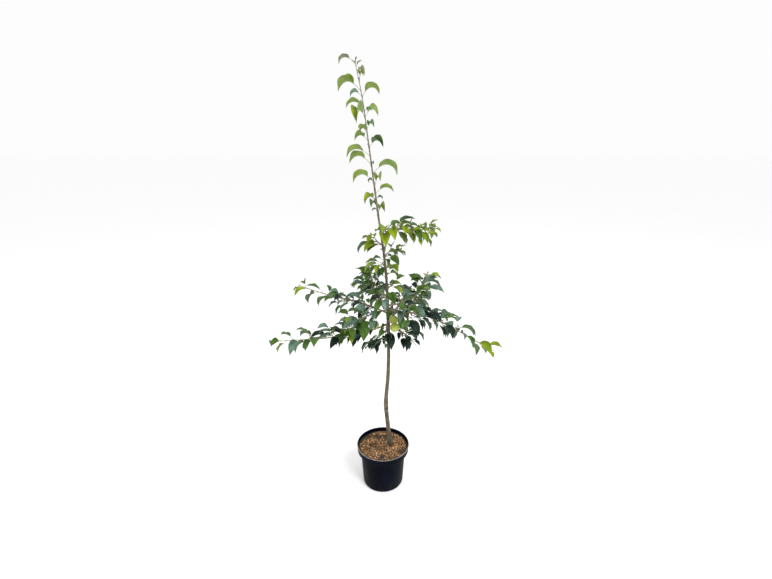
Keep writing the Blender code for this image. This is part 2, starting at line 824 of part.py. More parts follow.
def make_mass(crown, limb):
    """Stem, twigs, leaves and fruit of one mass, fused to one body."""
    mass = grow_mass(crown, limb)
    rings = stem_rings(mass.stem, STEM_SIDES, STEM_SPACING)
    if limb is LEADER:
        rings[0] = [np.array([x, y, TRUNK_TOP + FIT_GAP]) for x, y, _ in rings[0]]
    item = mesh_object("foliage_" + limb.name, lambda shape: loft(shape, rings))
    pieces = [make_stem("twig", twig, TWIG_SIDES) for twig in mass.twigs]
    pieces += [make_leaf("leaf", leaf) for leaf in mass.leaves]
    for stalk, centre in mass.fruits:
        pieces.append(make_stem("stalk", stalk, 3, spacing=0.012))
        pieces.append(make_fruit("fruit", centre))
    unite(item, pieces)
    finish(item, "foliage")
    return item


def build():
    for item in list(bpy.data.objects):
        bpy.data.objects.remove(item)
    make_pot()
    make_soil()
    trunk = mesh_object("trunk", lambda shape: loft(shape, trunk_rings()))
    finish(trunk, "bark")
    clearance = mesh_object("trunk_guide", lambda shape: loft(shape, trunk_rings(FIT_GAP)))
    crown = Crown()
    for name, bough in crown.boughs.items():
        item = make_stem("bough_" + name, bough, BOUGH_SIDES, spacing=0.012)
        cut(item, clearance)
        finish(item, "young bark")
    for limb in LIMBS + [LEADER]:
        item = make_mass(crown, limb)
        if limb.bare == 0.0 and limb is not LEADER:
            cut(item, clearance)
    for item in bpy.data.objects:
        if item.type == "MESH":
            item.data.shade_smooth()
            item.data.set_sharp_from_angle(angle=math.radians(40.0))


build()
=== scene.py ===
"""Looks of a young Asian pear tree in a round nursery pot.

The crown grows here by the rule that its solids follow, from the same seeds, so that each
leaf and twig lies in the solid that it stands for. Finer twigs, small leaves and buds then
fill the same reach. Metres, +Z up, -Y is the front.
"""

import json
import math
import random
from dataclasses import dataclass

import bmesh
import bpy
import numpy as np
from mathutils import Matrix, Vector, noise

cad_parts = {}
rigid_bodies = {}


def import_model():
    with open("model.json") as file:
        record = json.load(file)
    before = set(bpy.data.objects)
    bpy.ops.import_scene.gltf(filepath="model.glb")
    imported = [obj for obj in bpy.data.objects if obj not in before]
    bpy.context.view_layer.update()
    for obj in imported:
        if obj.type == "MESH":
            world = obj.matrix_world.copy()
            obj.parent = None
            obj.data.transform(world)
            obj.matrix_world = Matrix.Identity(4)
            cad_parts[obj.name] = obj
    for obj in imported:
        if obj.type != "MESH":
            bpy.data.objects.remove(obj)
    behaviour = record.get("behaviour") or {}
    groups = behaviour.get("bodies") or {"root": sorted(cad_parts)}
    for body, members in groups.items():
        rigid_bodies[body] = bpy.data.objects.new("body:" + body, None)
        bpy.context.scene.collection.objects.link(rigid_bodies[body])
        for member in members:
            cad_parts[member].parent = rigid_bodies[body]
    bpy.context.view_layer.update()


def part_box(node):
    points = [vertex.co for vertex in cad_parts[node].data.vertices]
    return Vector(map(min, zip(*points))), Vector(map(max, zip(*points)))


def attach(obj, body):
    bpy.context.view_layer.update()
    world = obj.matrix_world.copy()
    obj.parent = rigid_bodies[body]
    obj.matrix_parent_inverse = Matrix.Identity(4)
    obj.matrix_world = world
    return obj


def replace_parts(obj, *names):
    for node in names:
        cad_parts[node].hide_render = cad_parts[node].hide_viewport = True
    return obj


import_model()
BODY = "root"

RIGHT = np.array([1.0, 0.0, 0.0])
UP = np.array([0.0, 0.0, 1.0])

# Pot, read from the frame, and its moulded details
POT_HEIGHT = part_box("pot")[1].z
RIM_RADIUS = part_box("pot")[1].x
BAND_HEIGHT = 0.030
BAND_LOW_RADIUS = 0.1175
BAND_EDGE = 0.001
WALL_TOP_RADIUS = 0.103
WALL_TOP_DROP = 0.008
WALL_LOW_RADIUS = 0.093
UNDERSIDE_RADIUS = 0.083
CORNER_HEIGHT = 0.010
POT_THICKNESS = 0.0025
RIM_ROUND = 0.0012
RIM_BEAD_HEIGHT = 0.0042
RIM_BEAD_REACH = 0.0008
POT_SIDES = 128
POT_SHARP_ANGLE = 35.0
DRAIN_HOLES = 8
DRAIN_HOLE_RADIUS = 0.0055
DRAIN_RING_RADIUS = 0.065

# Shoulder between wall and band: how far out from the wall, how far below the band
SHOULDER = ((0.0012, 0.004), (0.004, 0.001))

# Mulch bed: its edge, and its bumps as (how many a metre, height, place in the noise)
SOIL_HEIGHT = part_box("soil")[1].z
SOIL_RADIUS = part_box("soil")[1].x
SOIL_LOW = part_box("soil")[0].z
SOIL_EDGE_DROP = 0.005
SOIL_LEVEL_RADIUS = 0.055
SOIL_RELIEF = 0.0030
SOIL_SINK = 0.6
SOIL_BUMPS = ((55, 1.0, 3.0), (170, 0.5, 9.0))
SOIL_EVEN_EDGE = 0.004
SOIL_FADE = 0.02
BED_SIDES = 96
BED_SHARP_ANGLE = 60.0

# Chips as (count per square metre, smallest, largest), and how their shapes vary
CHIP_KINDS = {
    "tan": (30000, 0.0016, 0.0048),
    "brown": (24000, 0.0018, 0.0052),
    "dark": (20000, 0.0014, 0.0044),
    "pale": (5500, 0.0012, 0.0040),
}
CHIP_LAYER = 0.0040
CHIP_SHAPES = 6
CHIP_WIDTHS = (0.38, 0.72)
CHIP_THICKNESSES = (0.16, 0.30)
CHIP_PUSHES = (0.78, 1.18)
CHIP_TILT = 0.45
FIELD_RINGS = 16
FIELD_SIDES = 64
FIELD_HOLE = 0.004
FIELD_EDGE = 0.0085
FIELD_LIFT = 0.0004

# Leaves as thin shells: rows from base to tip, columns across, with teeth on the margin
LEAF_ROWS = 24
SMALL_LEAF_ROWS = 12
SMALL_LEAF = 0.050
RIB_COLUMN = 0.06
LEAF_COLUMNS = (-1.0, -0.68, -0.34, -RIB_COLUMN, RIB_COLUMN, 0.34, 0.68, 1.0)
LAST_ROW_SHARE = 0.985
SHELL_THICKNESS = 0.00035
TOOTH = 0.028
SIDE_VEINS = 9
VEIN_SLANT = 1.9
PUCKER = 0.00055
MIDRIB_GROOVE = 0.0005
MARGIN_WAVE = 0.0011
MARGIN_WAVES = 17.0
WAVE_SKEW = 2.0
TIP_DRAW = 0.50
LEADER_FOLD = 56.0

# Leaf stalks, and the midrib that carries each one on under its blade
STALK_RADIUS = 0.00085
STALK_FOOT_SWELL = 0.0005
STALK_SIDES = 6
MIDRIB_RADIUS = 0.00075
MIDRIB_END_RADIUS = 0.00012
MIDRIB_SINK = 0.0002

# Bark relief, and the swellings at nodes and at the limbs' feet
BARK_RELIEF = 0.00045
BARK_GRAIN = (420, 420, 90)
LIMB_RELIEF_SHARE = 0.3
NODE_SWELL = 0.22
NODE_LENGTH = 0.0035
NODE_REACH = 0.003
NODE_MARKS = 160
COLLAR_SWELL = 0.35
COLLAR_LENGTH = 0.006
WOOD_SHARP_ANGLE = 55.0

# Rings of the wood
TRUNK_SIDES = 26
TRUNK_RINGS = 420
TRUNK_RING_POWER = 1.12
TRUNK_SINK = 0.003
LOWEST_NODE = 0.7
FULL_RELIEF_RADIUS = 0.006
LIMB_SIDES = 12
LIMB_RING_STEP = 0.003
TWIG_SIDES = 8
TWIG_RING_STEP = 0.004

# Buds: share of the length and of the radius from foot to point
BUD_LENGTH = 0.0055
BUD_RADIUS = 0.0016
BUD_SHAPE = ((0.0, 0.75), (0.18, 1.0), (0.42, 0.95), (0.68, 0.6), (0.88, 0.26), (1.0, 0.05))
BUD_LEAN = 0.45
BUD_SET_OUT = 0.0012
BUD_SIZES = (0.6, 1.0)

# Fruits: dents as (depth, width), lobes as (count, depth), swollen stalk ends, sepals
FRUIT_SIDES = 48
FRUIT_ROWS = 30
STALK_DENT = (0.16, 0.30)
EYE_DENT = (0.13, 0.28)
FRUIT_LOBES = (5, 0.012)
STALK_END_SWELLS = (0.5, 0.4)
STALK_END_LENGTH = 0.004
EYE_SHARE = 0.90
SEPALS = 5
SEPAL_RISE = -50
SEPAL_LENGTH = 0.0042
SEPAL_SHAPE = ((0.0, 0.0008), (0.35, 0.0010), (0.7, 0.0006), (1.0, 0.0001))

# Finer growth: share of the stem that takes it, spacing, blade lengths and clearances
FINE_SHARE = 0.90
LONG_LIMB = 0.35
LONG_FINE_SHARE = 0.45
FINE_SPACING = 0.0125
FINE_BLADES = (0.036, 0.068)
FINE_CLEARANCE = 0.0036
FINE_TWIG_CHANCE = 0.22
FINE_SEED = 70
LEADER_FINE_SPACING = 0.055
LEADER_FINE_SIZE = 0.62

# Folded leaves at the leader's tip
APEX_LEAVES = 4
APEX_BLADES = (0.016, 0.024)
APEX_SLOPES = (70.0, 62.0)
APEX_TIP_SLOPES = (0.0, 40.0)
APEX_START = 0.975
APEX_STEP = 0.008
APEX_PETIOLE_SHARE = 0.3
APEX_WIDTH_SHARE = 0.4

# Zones of the crown: limb heights, limb length and shares of a limb that part them
TOP_HEIGHT = 1.1
UPPER_HEIGHT = 0.93
DARK_HEIGHT = 0.83
ZONED_LIMB = 0.2
OUTER_SHARE = 0.5
TIP_SHARE = 0.78
DUSK_SHARE = 0.88
SHARE_STEPS = 40

# Tints in each zone, each with the chance up to which it is taken; the near-black green is painted shade
# and the pale blue-green a painted sky reflection
ZONE_TINTS = {
    "leader": (("bright", 0.85), ("green", 1.0)),
    "top": (("bright", 0.75), ("green", 1.0)),
    "upper": (("grey", 0.28), ("bright", 0.62), ("green", 1.0)),
    "tips": (("bright", 0.60), ("green", 1.0)),
    "outer": (("green", 0.55), ("grey", 1.0)),
    "dark": (("deep", 0.80), ("green", 1.0)),
    "heart": (("grey", 0.36), ("deep", 0.68), ("green", 1.0)),
}

# Tint: darker and lighter colour of the upper side, then the colour of the veins
LEAF_TINTS = {
    "bright": ((0.092, 0.152, 0.002), (0.235, 0.300, 0.004), (0.330, 0.395, 0.040)),
    "green": ((0.022, 0.060, 0.008), (0.066, 0.138, 0.014), (0.150, 0.220, 0.060)),
    # Painted shade: near-black greens that stand for the shade low and inside the crown
    "deep": ((0.0020, 0.0070, 0.0055), (0.0090, 0.0260, 0.0170), (0.040, 0.075, 0.048)),
    # Painted reflection: a pale blue-green that stands for the sky's sheen on glossy leaves
    "grey": ((0.036, 0.078, 0.055), (0.125, 0.205, 0.150), (0.220, 0.310, 0.240)),
    "dusk": ((0.110, 0.088, 0.066), (0.235, 0.185, 0.140), (0.330, 0.270, 0.215)),
}
UNDER_PALE = (0.150, 0.225, 0.135)
UNDER_SHARE = 0.45

# Pairs of colours that lie in patches
OLD_BARK = ((0.042, 0.032, 0.018), (0.120, 0.095, 0.058))
RED_BARK = ((0.085, 0.052, 0.042), (0.160, 0.125, 0.105))
LIMB_BARK = ((0.090, 0.052, 0.036), (0.215, 0.135, 0.095))
LEAF_STALK = ((0.130, 0.190, 0.050), (0.260, 0.280, 0.110))
GREEN_TWIG = ((0.080, 0.075, 0.030), (0.150, 0.130, 0.055))
BUD_SCALE = ((0.060, 0.034, 0.022), (0.150, 0.095, 0.060))
FRUIT_STALK = ((0.120, 0.090, 0.035), (0.230, 0.200, 0.080))
DRIED_SEPAL = ((0.030, 0.020, 0.012), (0.080, 0.055, 0.030))
PEAR_SKIN = ((0.300, 0.370, 0.035), (0.430, 0.480, 0.075))
# Black plastic with a navy tint that is a painted sheen
BLACK_PLASTIC_PAINTED_SHEEN = ((0.0006, 0.0010, 0.0030), (0.0022, 0.0036, 0.0095))
COMPOST = ((0.020, 0.013, 0.008), (0.075, 0.045, 0.024))
PALE_FLOOR = ((0.985, 0.985, 0.985), (0.990, 0.990, 0.990))
CHIP_COLOURS = {
    "tan": ((0.340, 0.165, 0.050), (0.700, 0.390, 0.145)),
    "brown": ((0.130, 0.052, 0.018), (0.310, 0.145, 0.052)),
    "dark": ((0.006, 0.004, 0.003), (0.036, 0.022, 0.013)),
    "pale": ((0.600, 0.480, 0.320), (0.920, 0.840, 0.700)),
}

# Colours laid over those, and the trunk heights between which they come in
RED_BARK_HEIGHTS = (0.95, 1.30)
TIP_BARK = (0.200, 0.150, 0.140)
TIP_BARK_HEIGHTS = (1.60, 1.78)
ALGAE = (0.230, 0.250, 0.150)
ALGAE_FROM_BELOW = (0.26, 0.32)
ALGAE_FROM_ABOVE = (0.50, 0.42)
BARK_LENTICEL = (0.330, 0.270, 0.200)
GREEN_LIMB = (0.170, 0.190, 0.070)
LIMB_LENTICEL = (0.400, 0.310, 0.220)
FRUIT_DOT = (0.420, 0.330, 0.140)
RUSSET = (0.240, 0.170, 0.060)
POT_DUST = (0.110, 0.090, 0.065)
# Painted highlight on the top of the rim, strongest at the front
RIM_PAINTED_HIGHLIGHT = (0.330, 0.300, 0.280)
DAMP_BARK = (0.030, 0.022, 0.015)

# Studio: lights as (place, size, power), and the camera fitted to the pot's ellipses
FLOOR_HALF = 150.0
WORLD_STRENGTH = 0.98
LIGHT_TARGET = (0.0, 0.0, 0.8)
LIGHTS = {
    "key": ((1.9, -2.2, 3.3), 2.0, 120.0),
    "fill": ((-2.6, -1.6, 2.0), 2.4, 22.0),
}
CAMERA_PLACE = (0.0139, -1.6319, 1.4809)
CAMERA_DOWN_TILT = 17.9638
FOCAL_PIXELS = 418.0
PHOTO_PIXELS = 772.0
SENSOR_WIDTH = 36.0

# Clear fit between neighbouring pieces
FIT_GAP = 0.0003

# Trunk line: height, then how far the centre lies to the right and to the back
TRUNK_LINE = (
    (0.184, 0.035, 0.008),
    (0.290, 0.023, 0.010),
    (0.400, 0.014, 0.006),
    (0.560, 0.023, 0.000),
    (0.860, 0.022, 0.000),
    (1.030, 0.013, 0.002),
    (1.260, -0.017, 0.000),
    (1.500, -0.048, -0.002),
    (1.700, -0.076, 0.000),
    (1.785, -0.094, 0.002),
)
TRUNK_FOOT_RADIUS = 0.0104
TRUNK_TIP_RADIUS = 0.0012
TRUNK_TAPER_POWER = 1.15
FLARE_RADIUS = 0.0045
FLARE_HEIGHT = 0.022
FLARE_LOBES = 4
LOBE_DEPTH = 0.16
GRAFT_HEIGHT = 0.405
GRAFT_SWELL = 0.0016
GRAFT_LENGTH = 0.030
TRUNK_TOP = 1.245

# Leaves, twigs and fruit
LEAF_FOLD = 34.0
LEAF_WIDTH_SHARE = 0.58
PETIOLE_SHARE = 0.42
PETIOLE_RADIUS = 0.0011
TWIG_RADIUS = 0.0014
TWIG_TIP_RADIUS = 0.0010
FRUIT_RADIUS = 0.0185
FRUIT_STALK_RADIUS = 0.0012
FRUIT_TOP_SHARE = 0.9
STALK_ARCH = 0.006

# Rule of growth. A pair is the range that a seeded draw is taken from
BUD_TURN = 144.0
LEAN_STRAY = 8.0
NECK_SLOPE = 15.0
NECK_SHARE = 0.35
STEEPEST_TIP = -86.0
BLADE_RANGE = (0.62, 1.14)
PETIOLE_RANGE = (0.8, 1.2)
WIDTH_RANGE = (0.9, 1.1)
LEAF_ROLL = 35.0
SPACING_RANGE = (0.6, 1.3)
TWIG_LEAN = 48.0
TWIG_RANGE = (0.022, 0.055)
TWIG_RISE = 40.0
TWIG_RISE_STEPS = 8
TWIG_STEPS = 6
TWIG_BUDS = (0.40, 0.60, 0.80, 0.95)
TWIG_LEAF_SHARE = 0.9
YOUNG_SHARE = 0.5
YOUNG_GAIN = 8.0
TRIES = 16
FIRST_STRAY = 16.0
MORE_STRAY = 9.0
TWIGGY_SHARE = 0.62
SPACE_MARGIN = 0.003
LEAF_CLEARANCE = 0.0075
LIMB_CLEARANCE = 0.0060
SAMPLE_STEP = 0.010
SAMPLE_SHARES = (0.0, 0.12, 0.25, 0.38, 0.51, 0.64, 0.77, 0.90, 1.0)
SAMPLE_COLUMNS = (-1.0, -0.5, 0.0, 0.5, 1.0)
PATH_STEPS = 48


@dataclass
class Limb:
    """A bough with the shoot that carries on from it. A spur has no bare bough.

    height is where it leaves the trunk, heading turns anticlockwise from +X seen from
    above, rise is the slope above level at its foot, middle and tip, all in degrees.
    """

    name: str
    height: float
    heading: float
    rise: tuple
    length: float
    bare: float
    seeds: tuple
    leaf: float = 0.076
    spacing: float = 0.030
    first_bud: float = 0.010
    foot_radius: float = 0.0036
    lean_out: float = 56.0
    droop: tuple = (45.0, 95.0)
    twigs: int = 0
    fruits: tuple = ()
    reach: float = 0.180


# Fruit: how far out along its limb, how far to the limb's left, how far its centre hangs
RIGHT_FRUITS = ((0.045, 0.000, 0.044), (0.088, -0.022, 0.062))
LEFT_FRUITS = ((0.072, 0.000, 0.052),)

LIMBS = [
    Limb("left_low", 0.800, 190, (-22, -2, -1), 0.490, 0.050, (1241, 1298, 1188, 1251), twigs=4),
    Limb("left_mid", 0.846, 172, (26, 12, 22), 0.395, 0.060, (1062, 1124, 1120), twigs=3),
    Limb("left_up", 0.857, 150, (40, 64, 104), 0.212, 0.040, (1155, 1014), twigs=2),
    Limb("right_low", 0.845, -12, (20, -23, -22), 0.466, 0.060, (1309, 1191, 1183, 1212), twigs=4),
    Limb("right_up", 0.883, 20, (-4, 32, 88), 0.241, 0.050, (1309, 1072), twigs=2),
    Limb("right_high", 1.195, -5, (20, -4, 38), 0.216, 0.020, (1000, 1008), twigs=1),
    Limb("front_right", 0.872, -58, (5, 5, -15), 0.190, 0.030, (1104, 1135), twigs=2, fruits=RIGHT_FRUITS),
    Limb("front_left", 0.862, 220, (8, -6, -20), 0.210, 0.040, (1296, 1314), twigs=2, fruits=LEFT_FRUITS),
    Limb("front_up", 0.905, 262, (35, 30, 5), 0.120, 0.020, (1143,), twigs=1),
    Limb("back_left", 0.868, 118, (25, 10, 8), 0.290, 0.055, (1186, 1185), twigs=3),
    Limb("back_right", 0.826, 62, (20, 2, 4), 0.310, 0.060, (1159, 1310), twigs=3),
    Limb("low_left", 0.772, 212, (-10, -35, -50), 0.110, 0.020, (1062,), twigs=1),
    Limb("low_right", 0.790, -28, (0, -25, -45), 0.140, 0.020, (1171,), twigs=1),
    Limb("low_front", 0.820, 262, (0, -35, -60), 0.120, 0.020, (1201,)),
]

# Leafy spurs up the trunk, each turned from the one below as buds on a pear shoot are
SPUR_SEEDS = (1187, 1091, 1208, 1259, 1111, 1256)
SPUR_FIRST_HEIGHT = 0.955
SPUR_STEP = 0.045
SPUR_FIRST_HEADING = 320.0
SPUR_LENGTH = 0.045
for spur, spur_seed in enumerate(SPUR_SEEDS):
    LIMBS.append(
        Limb(
            f"spur_{spur + 1}",
            SPUR_FIRST_HEIGHT + SPUR_STEP * spur,
            SPUR_FIRST_HEADING + BUD_TURN * spur,
            (35, 40, 45),
            SPUR_LENGTH,
            0.0,
            seeds=(spur_seed,),
            spacing=0.006,
            foot_radius=0.0022,
        )
    )

LEADER = Limb(
    "leader",
    TRUNK_TOP,
    0,
    (90, 90, 90),
    0.540,
    0.0,
    seeds=(1456, 1203, 1505, 1352, 1745),
    leaf=0.094,
    spacing=0.027,
    lean_out=40.0,
    droop=(90.0, 125.0),
)


# Trunk and limb lines

def trunk_centre(height):
    """Centre of the trunk at a height, on a smooth line through TRUNK_LINE."""
    line = np.array(TRUNK_LINE)
    slope = np.gradient(line[:, 1:], line[:, 0], axis=0)
    row = int(np.clip(np.searchsorted(line[:, 0], height) - 1, 0, len(line) - 2))
    run = line[row + 1, 0] - line[row, 0]
    t = (height - line[row, 0]) / run
    place = (
        (2 * t**3 - 3 * t**2 + 1) * line[row, 1:]
        + (t**3 - 2 * t**2 + t) * run * slope[row]
        + (3 * t**2 - 2 * t**3) * line[row + 1, 1:]
        + (t**3 - t**2) * run * slope[row + 1]
    )
    return np.array([place[0], place[1], height])


def trunk_radius(height):
    """Radius of the trunk at a height: an even taper, the foot's flare and the graft."""
    foot = TRUNK_LINE[0][0]
    top = TRUNK_LINE[-1][0]
    share = np.clip((top - height) / (top - foot), 0.0, 1.0) ** TRUNK_TAPER_POWER
    flare = FLARE_RADIUS * math.exp(-max(height - foot, 0.0) / FLARE_HEIGHT)
    graft = GRAFT_SWELL * math.exp(-(((height - GRAFT_HEIGHT) / GRAFT_LENGTH) ** 2))
    return TRUNK_TIP_RADIUS + (TRUNK_FOOT_RADIUS - TRUNK_TIP_RADIUS) * share + flare + graft


def direction(heading, rise):
    """Unit vector for a heading and a slope in degrees."""
    level = math.cos(math.radians(rise))
    turn = math.radians(heading)
    return np.array([level * math.cos(turn), level * math.sin(turn), math.sin(math.radians(rise))])


def heading_and_slope(aim):
    """Heading and slope in degrees of a unit vector."""
    slope = math.asin(np.clip(aim[2], -1.0, 1.0))
    return math.degrees(math.atan2(aim[1], aim[0])), math.degrees(slope)


def limb_line(limb):
    """Centre points of a limb from the trunk's axis to its tip."""
    foot, middle, tip = limb.rise
    step = limb.length / PATH_STEPS
    points = [trunk_centre(limb.height)]
    for index in range(PATH_STEPS):
        t = (index + 0.5) / PATH_STEPS
        rise = foot * (1 - t) * (1 - 2 * t) + middle * 4 * t * (1 - t) + tip * t * (2 * t - 1)
        points.append(points[-1] + step * direction(limb.heading, rise))
    return np.array(points)


def leader_line():
    """Centre points of the leader, which carries the trunk's line on to the tip."""
    heights = np.linspace(TRUNK_TOP + FIT_GAP, TRUNK_LINE[-1][0], PATH_STEPS + 1)
    return np.array([trunk_centre(height) for height in heights])


class Shoot:
    """A stem: its centre line, its radius from foot to tip and its length."""

    def __init__(self, line, foot_radius, tip_radius):
        steps = np.linalg.norm(np.diff(line, axis=0), axis=1)
        self.line = line
        self.marks = np.concatenate([[0.0], np.cumsum(steps)])
        self.length = self.marks[-1]
        self.foot_radius = foot_radius
        self.tip_radius = tip_radius

    def point(self, distance):
        return np.array([np.interp(distance, self.marks, self.line[:, axis]) for axis in range(3)])

    def forward(self, distance):
        step = 0.02 * self.length
        ahead = self.point(min(distance + step, self.length)) - self.point(max(distance - step, 0.0))
        return ahead / np.linalg.norm(ahead)

    def radius(self, distance):
        share = distance / self.length
        return self.foot_radius + (self.tip_radius - self.foot_radius) * share

    def points(self, start, end, steps):
        return np.array([self.point(mark) for mark in np.linspace(start, end, steps + 1)])

    def samples(self):
        return self.points(0.0, self.length, max(1, round(self.length / SAMPLE_STEP)))


def split_limb(limb):
    """The bare bough, or None on a spur, and the shoot that carries on from it."""
    whole = Shoot(limb_line(limb), limb.foot_radius, TWIG_TIP_RADIUS)
    bough = None
    start = 0.0
    if limb.bare > 0.0:
        bough = Shoot(whole.points(0.0, limb.bare, 8), limb.foot_radius, whole.radius(limb.bare))
        start = limb.bare + FIT_GAP
    line = whole.points(start, limb.length, PATH_STEPS)
    return bough, Shoot(line, whole.radius(start), TWIG_TIP_RADIUS)


def hang_fruits(limb):
    """Stalk and centre of each fruit, which hangs beside its limb."""
    whole = Shoot(limb_line(limb), limb.foot_radius, TWIG_TIP_RADIUS)
    left = direction(limb.heading + 90.0, 0.0)
    fruits = []
    for along, sideways, drop in limb.fruits:
        root = whole.point(along)
        centre = root + left * sideways - drop * UP
        top = centre + FRUIT_TOP_SHARE * FRUIT_RADIUS * UP
        shoulder = 0.5 * (root + top) + STALK_ARCH * whole.forward(along)
        t = np.linspace(0.0, 1.0, 5)[:, None]
        bend = (1 - t) ** 2 * root + 2 * t * (1 - t) * shoulder + t**2 * top
        fruits.append((Shoot(bend, FRUIT_STALK_RADIUS, FRUIT_STALK_RADIUS), centre))
    return fruits


def fruit_samples(centre):
    """Points spread over a fruit's skin."""
    skin = [direction(turn, rise) for rise in (-90, -50, -15, 15, 50, 90) for turn in range(0, 360, 60)]
    return centre + FRUIT_RADIUS * np.array(skin)


# Leaves: a petiole and a folded blade along two arcs in one upright plane

@dataclass
class Leaf:
    """Place and shape of one leaf. Slopes are in degrees at foot, neck and tip."""

    foot: np.ndarray
    heading: float
    slopes: tuple
    petiole: float
    blade: float
    width: float
    roll: float


def arc(start, end, length, share):
    """Distance out, distance up and slope after a share of an arc between two slopes."""
    first = math.radians(start)
    turn = math.radians(end - start)
    slope = first + turn * share
    if abs(turn) < 0.001:
        return length * share * math.cos(first), length * share * math.sin(first), slope
    out = length / turn * (math.sin(slope) - math.sin(first))
    up = length / turn * (math.cos(first) - math.cos(slope))
    return out, up, slope


def leaf_frame(leaf, share, on_blade=True):
    """Centre, upper normal and side vector at a share of the blade or the petiole."""
    foot_slope, neck_slope, tip_slope = leaf.slopes
    if on_blade:
        out, up, _ = arc(foot_slope, neck_slope, leaf.petiole, 1.0)
        more_out, more_up, slope = arc(neck_slope, tip_slope, leaf.blade, share)
        out += more_out
        up += more_up
    else:
        out, up, slope = arc(foot_slope, neck_slope, leaf.petiole, share)
    turn = math.radians(leaf.heading)
    outward = np.array([math.cos(turn), math.sin(turn), 0.0])
    side = np.array([math.sin(turn), -math.cos(turn), 0.0])
    normal = UP * math.cos(slope) - outward * math.sin(slope)
    roll = math.radians(leaf.roll)
    centre = leaf.foot + outward * out + UP * up
    return (
        centre,
        normal * math.cos(roll) - side * math.sin(roll),
        side * math.cos(roll) + normal * math.sin(roll),
    )


def half_width(leaf, share):
    """Half the blade's width at a share of its length: ovate with a drawn-out tip."""
    return 0.5 * leaf.width * math.sin(math.pi * share**0.8)


def blade_samples(leaf):
    """Points spread over the blade, to test its clearance."""
    fold = math.radians(LEAF_FOLD)
    points = []
    for share in SAMPLE_SHARES:
        centre, normal, side = leaf_frame(leaf, share)
        half = half_width(leaf, share) if share < 1.0 else 0.0
        for across in SAMPLE_COLUMNS:
            offset = side * across * math.cos(fold) + normal * abs(across) * math.sin(fold)
            points.append(centre + half * offset)
    return np.array(points)


def petiole_samples(leaf):
    """Points along the outer half of the petiole."""
    return np.array([leaf_frame(leaf, share, on_blade=False)[0] for share in (0.5, 0.7, 0.9)])


# Rule of growth

def distances(points, others):
    """Distance from each point to each of the others."""
    return np.linalg.norm(points[:, None, :] - others[None, :, :], axis=2)


class Crown:
    """Every limb's line, and the test that keeps a mass in its own space."""

    def __init__(self):
        heights = np.arange(TRUNK_LINE[0][0], TRUNK_TOP, SAMPLE_STEP)
        self.wood = [np.array([trunk_centre(height) for height in heights])]
        self.wood_radius = [np.array([trunk_radius(height) for height in heights])]
        self.shoots = {}
        self.fruits = {LEADER.name: []}
        for limb in LIMBS:
            bough, shoot = split_limb(limb)
            self.shoots[limb.name] = shoot
            self.fruits[limb.name] = hang_fruits(limb)
            if bough:
                self.wood.append(bough.samples())
                self.wood_radius.append(np.full(len(self.wood[-1]), bough.foot_radius))
        self.shoots[LEADER.name] = Shoot(leader_line(), trunk_radius(TRUNK_TOP), TRUNK_TIP_RADIUS)
        self.wood = np.concatenate(self.wood)
        self.wood_radius = np.concatenate(self.wood_radius)
        self.stems = {name: shoot.samples() for name, shoot in self.shoots.items()}
        self.spines = dict(self.stems)
        for name, fruits in self.fruits.items():
            for stalk, centre in fruits:
                self.spines[name] = np.concatenate([self.spines[name], stalk.samples(), centre[None]])

    def in_own_space(self, points, limb):
        """Nearer to its own stem and fruit than to any other mass's, and within reach."""
        own = distances(points, self.spines[limb.name]).min(axis=1)
        if own.max() > limb.reach:
            return False
        others = np.concatenate([line for name, line in self.spines.items() if name != limb.name])
        return bool((own + SPACE_MARGIN < distances(points, others).min(axis=1)).all())

    def clear_of_wood(self, points, margin=LIMB_CLEARANCE):
        gaps = distances(points, self.wood) - self.wood_radius
        return gaps.min() > margin


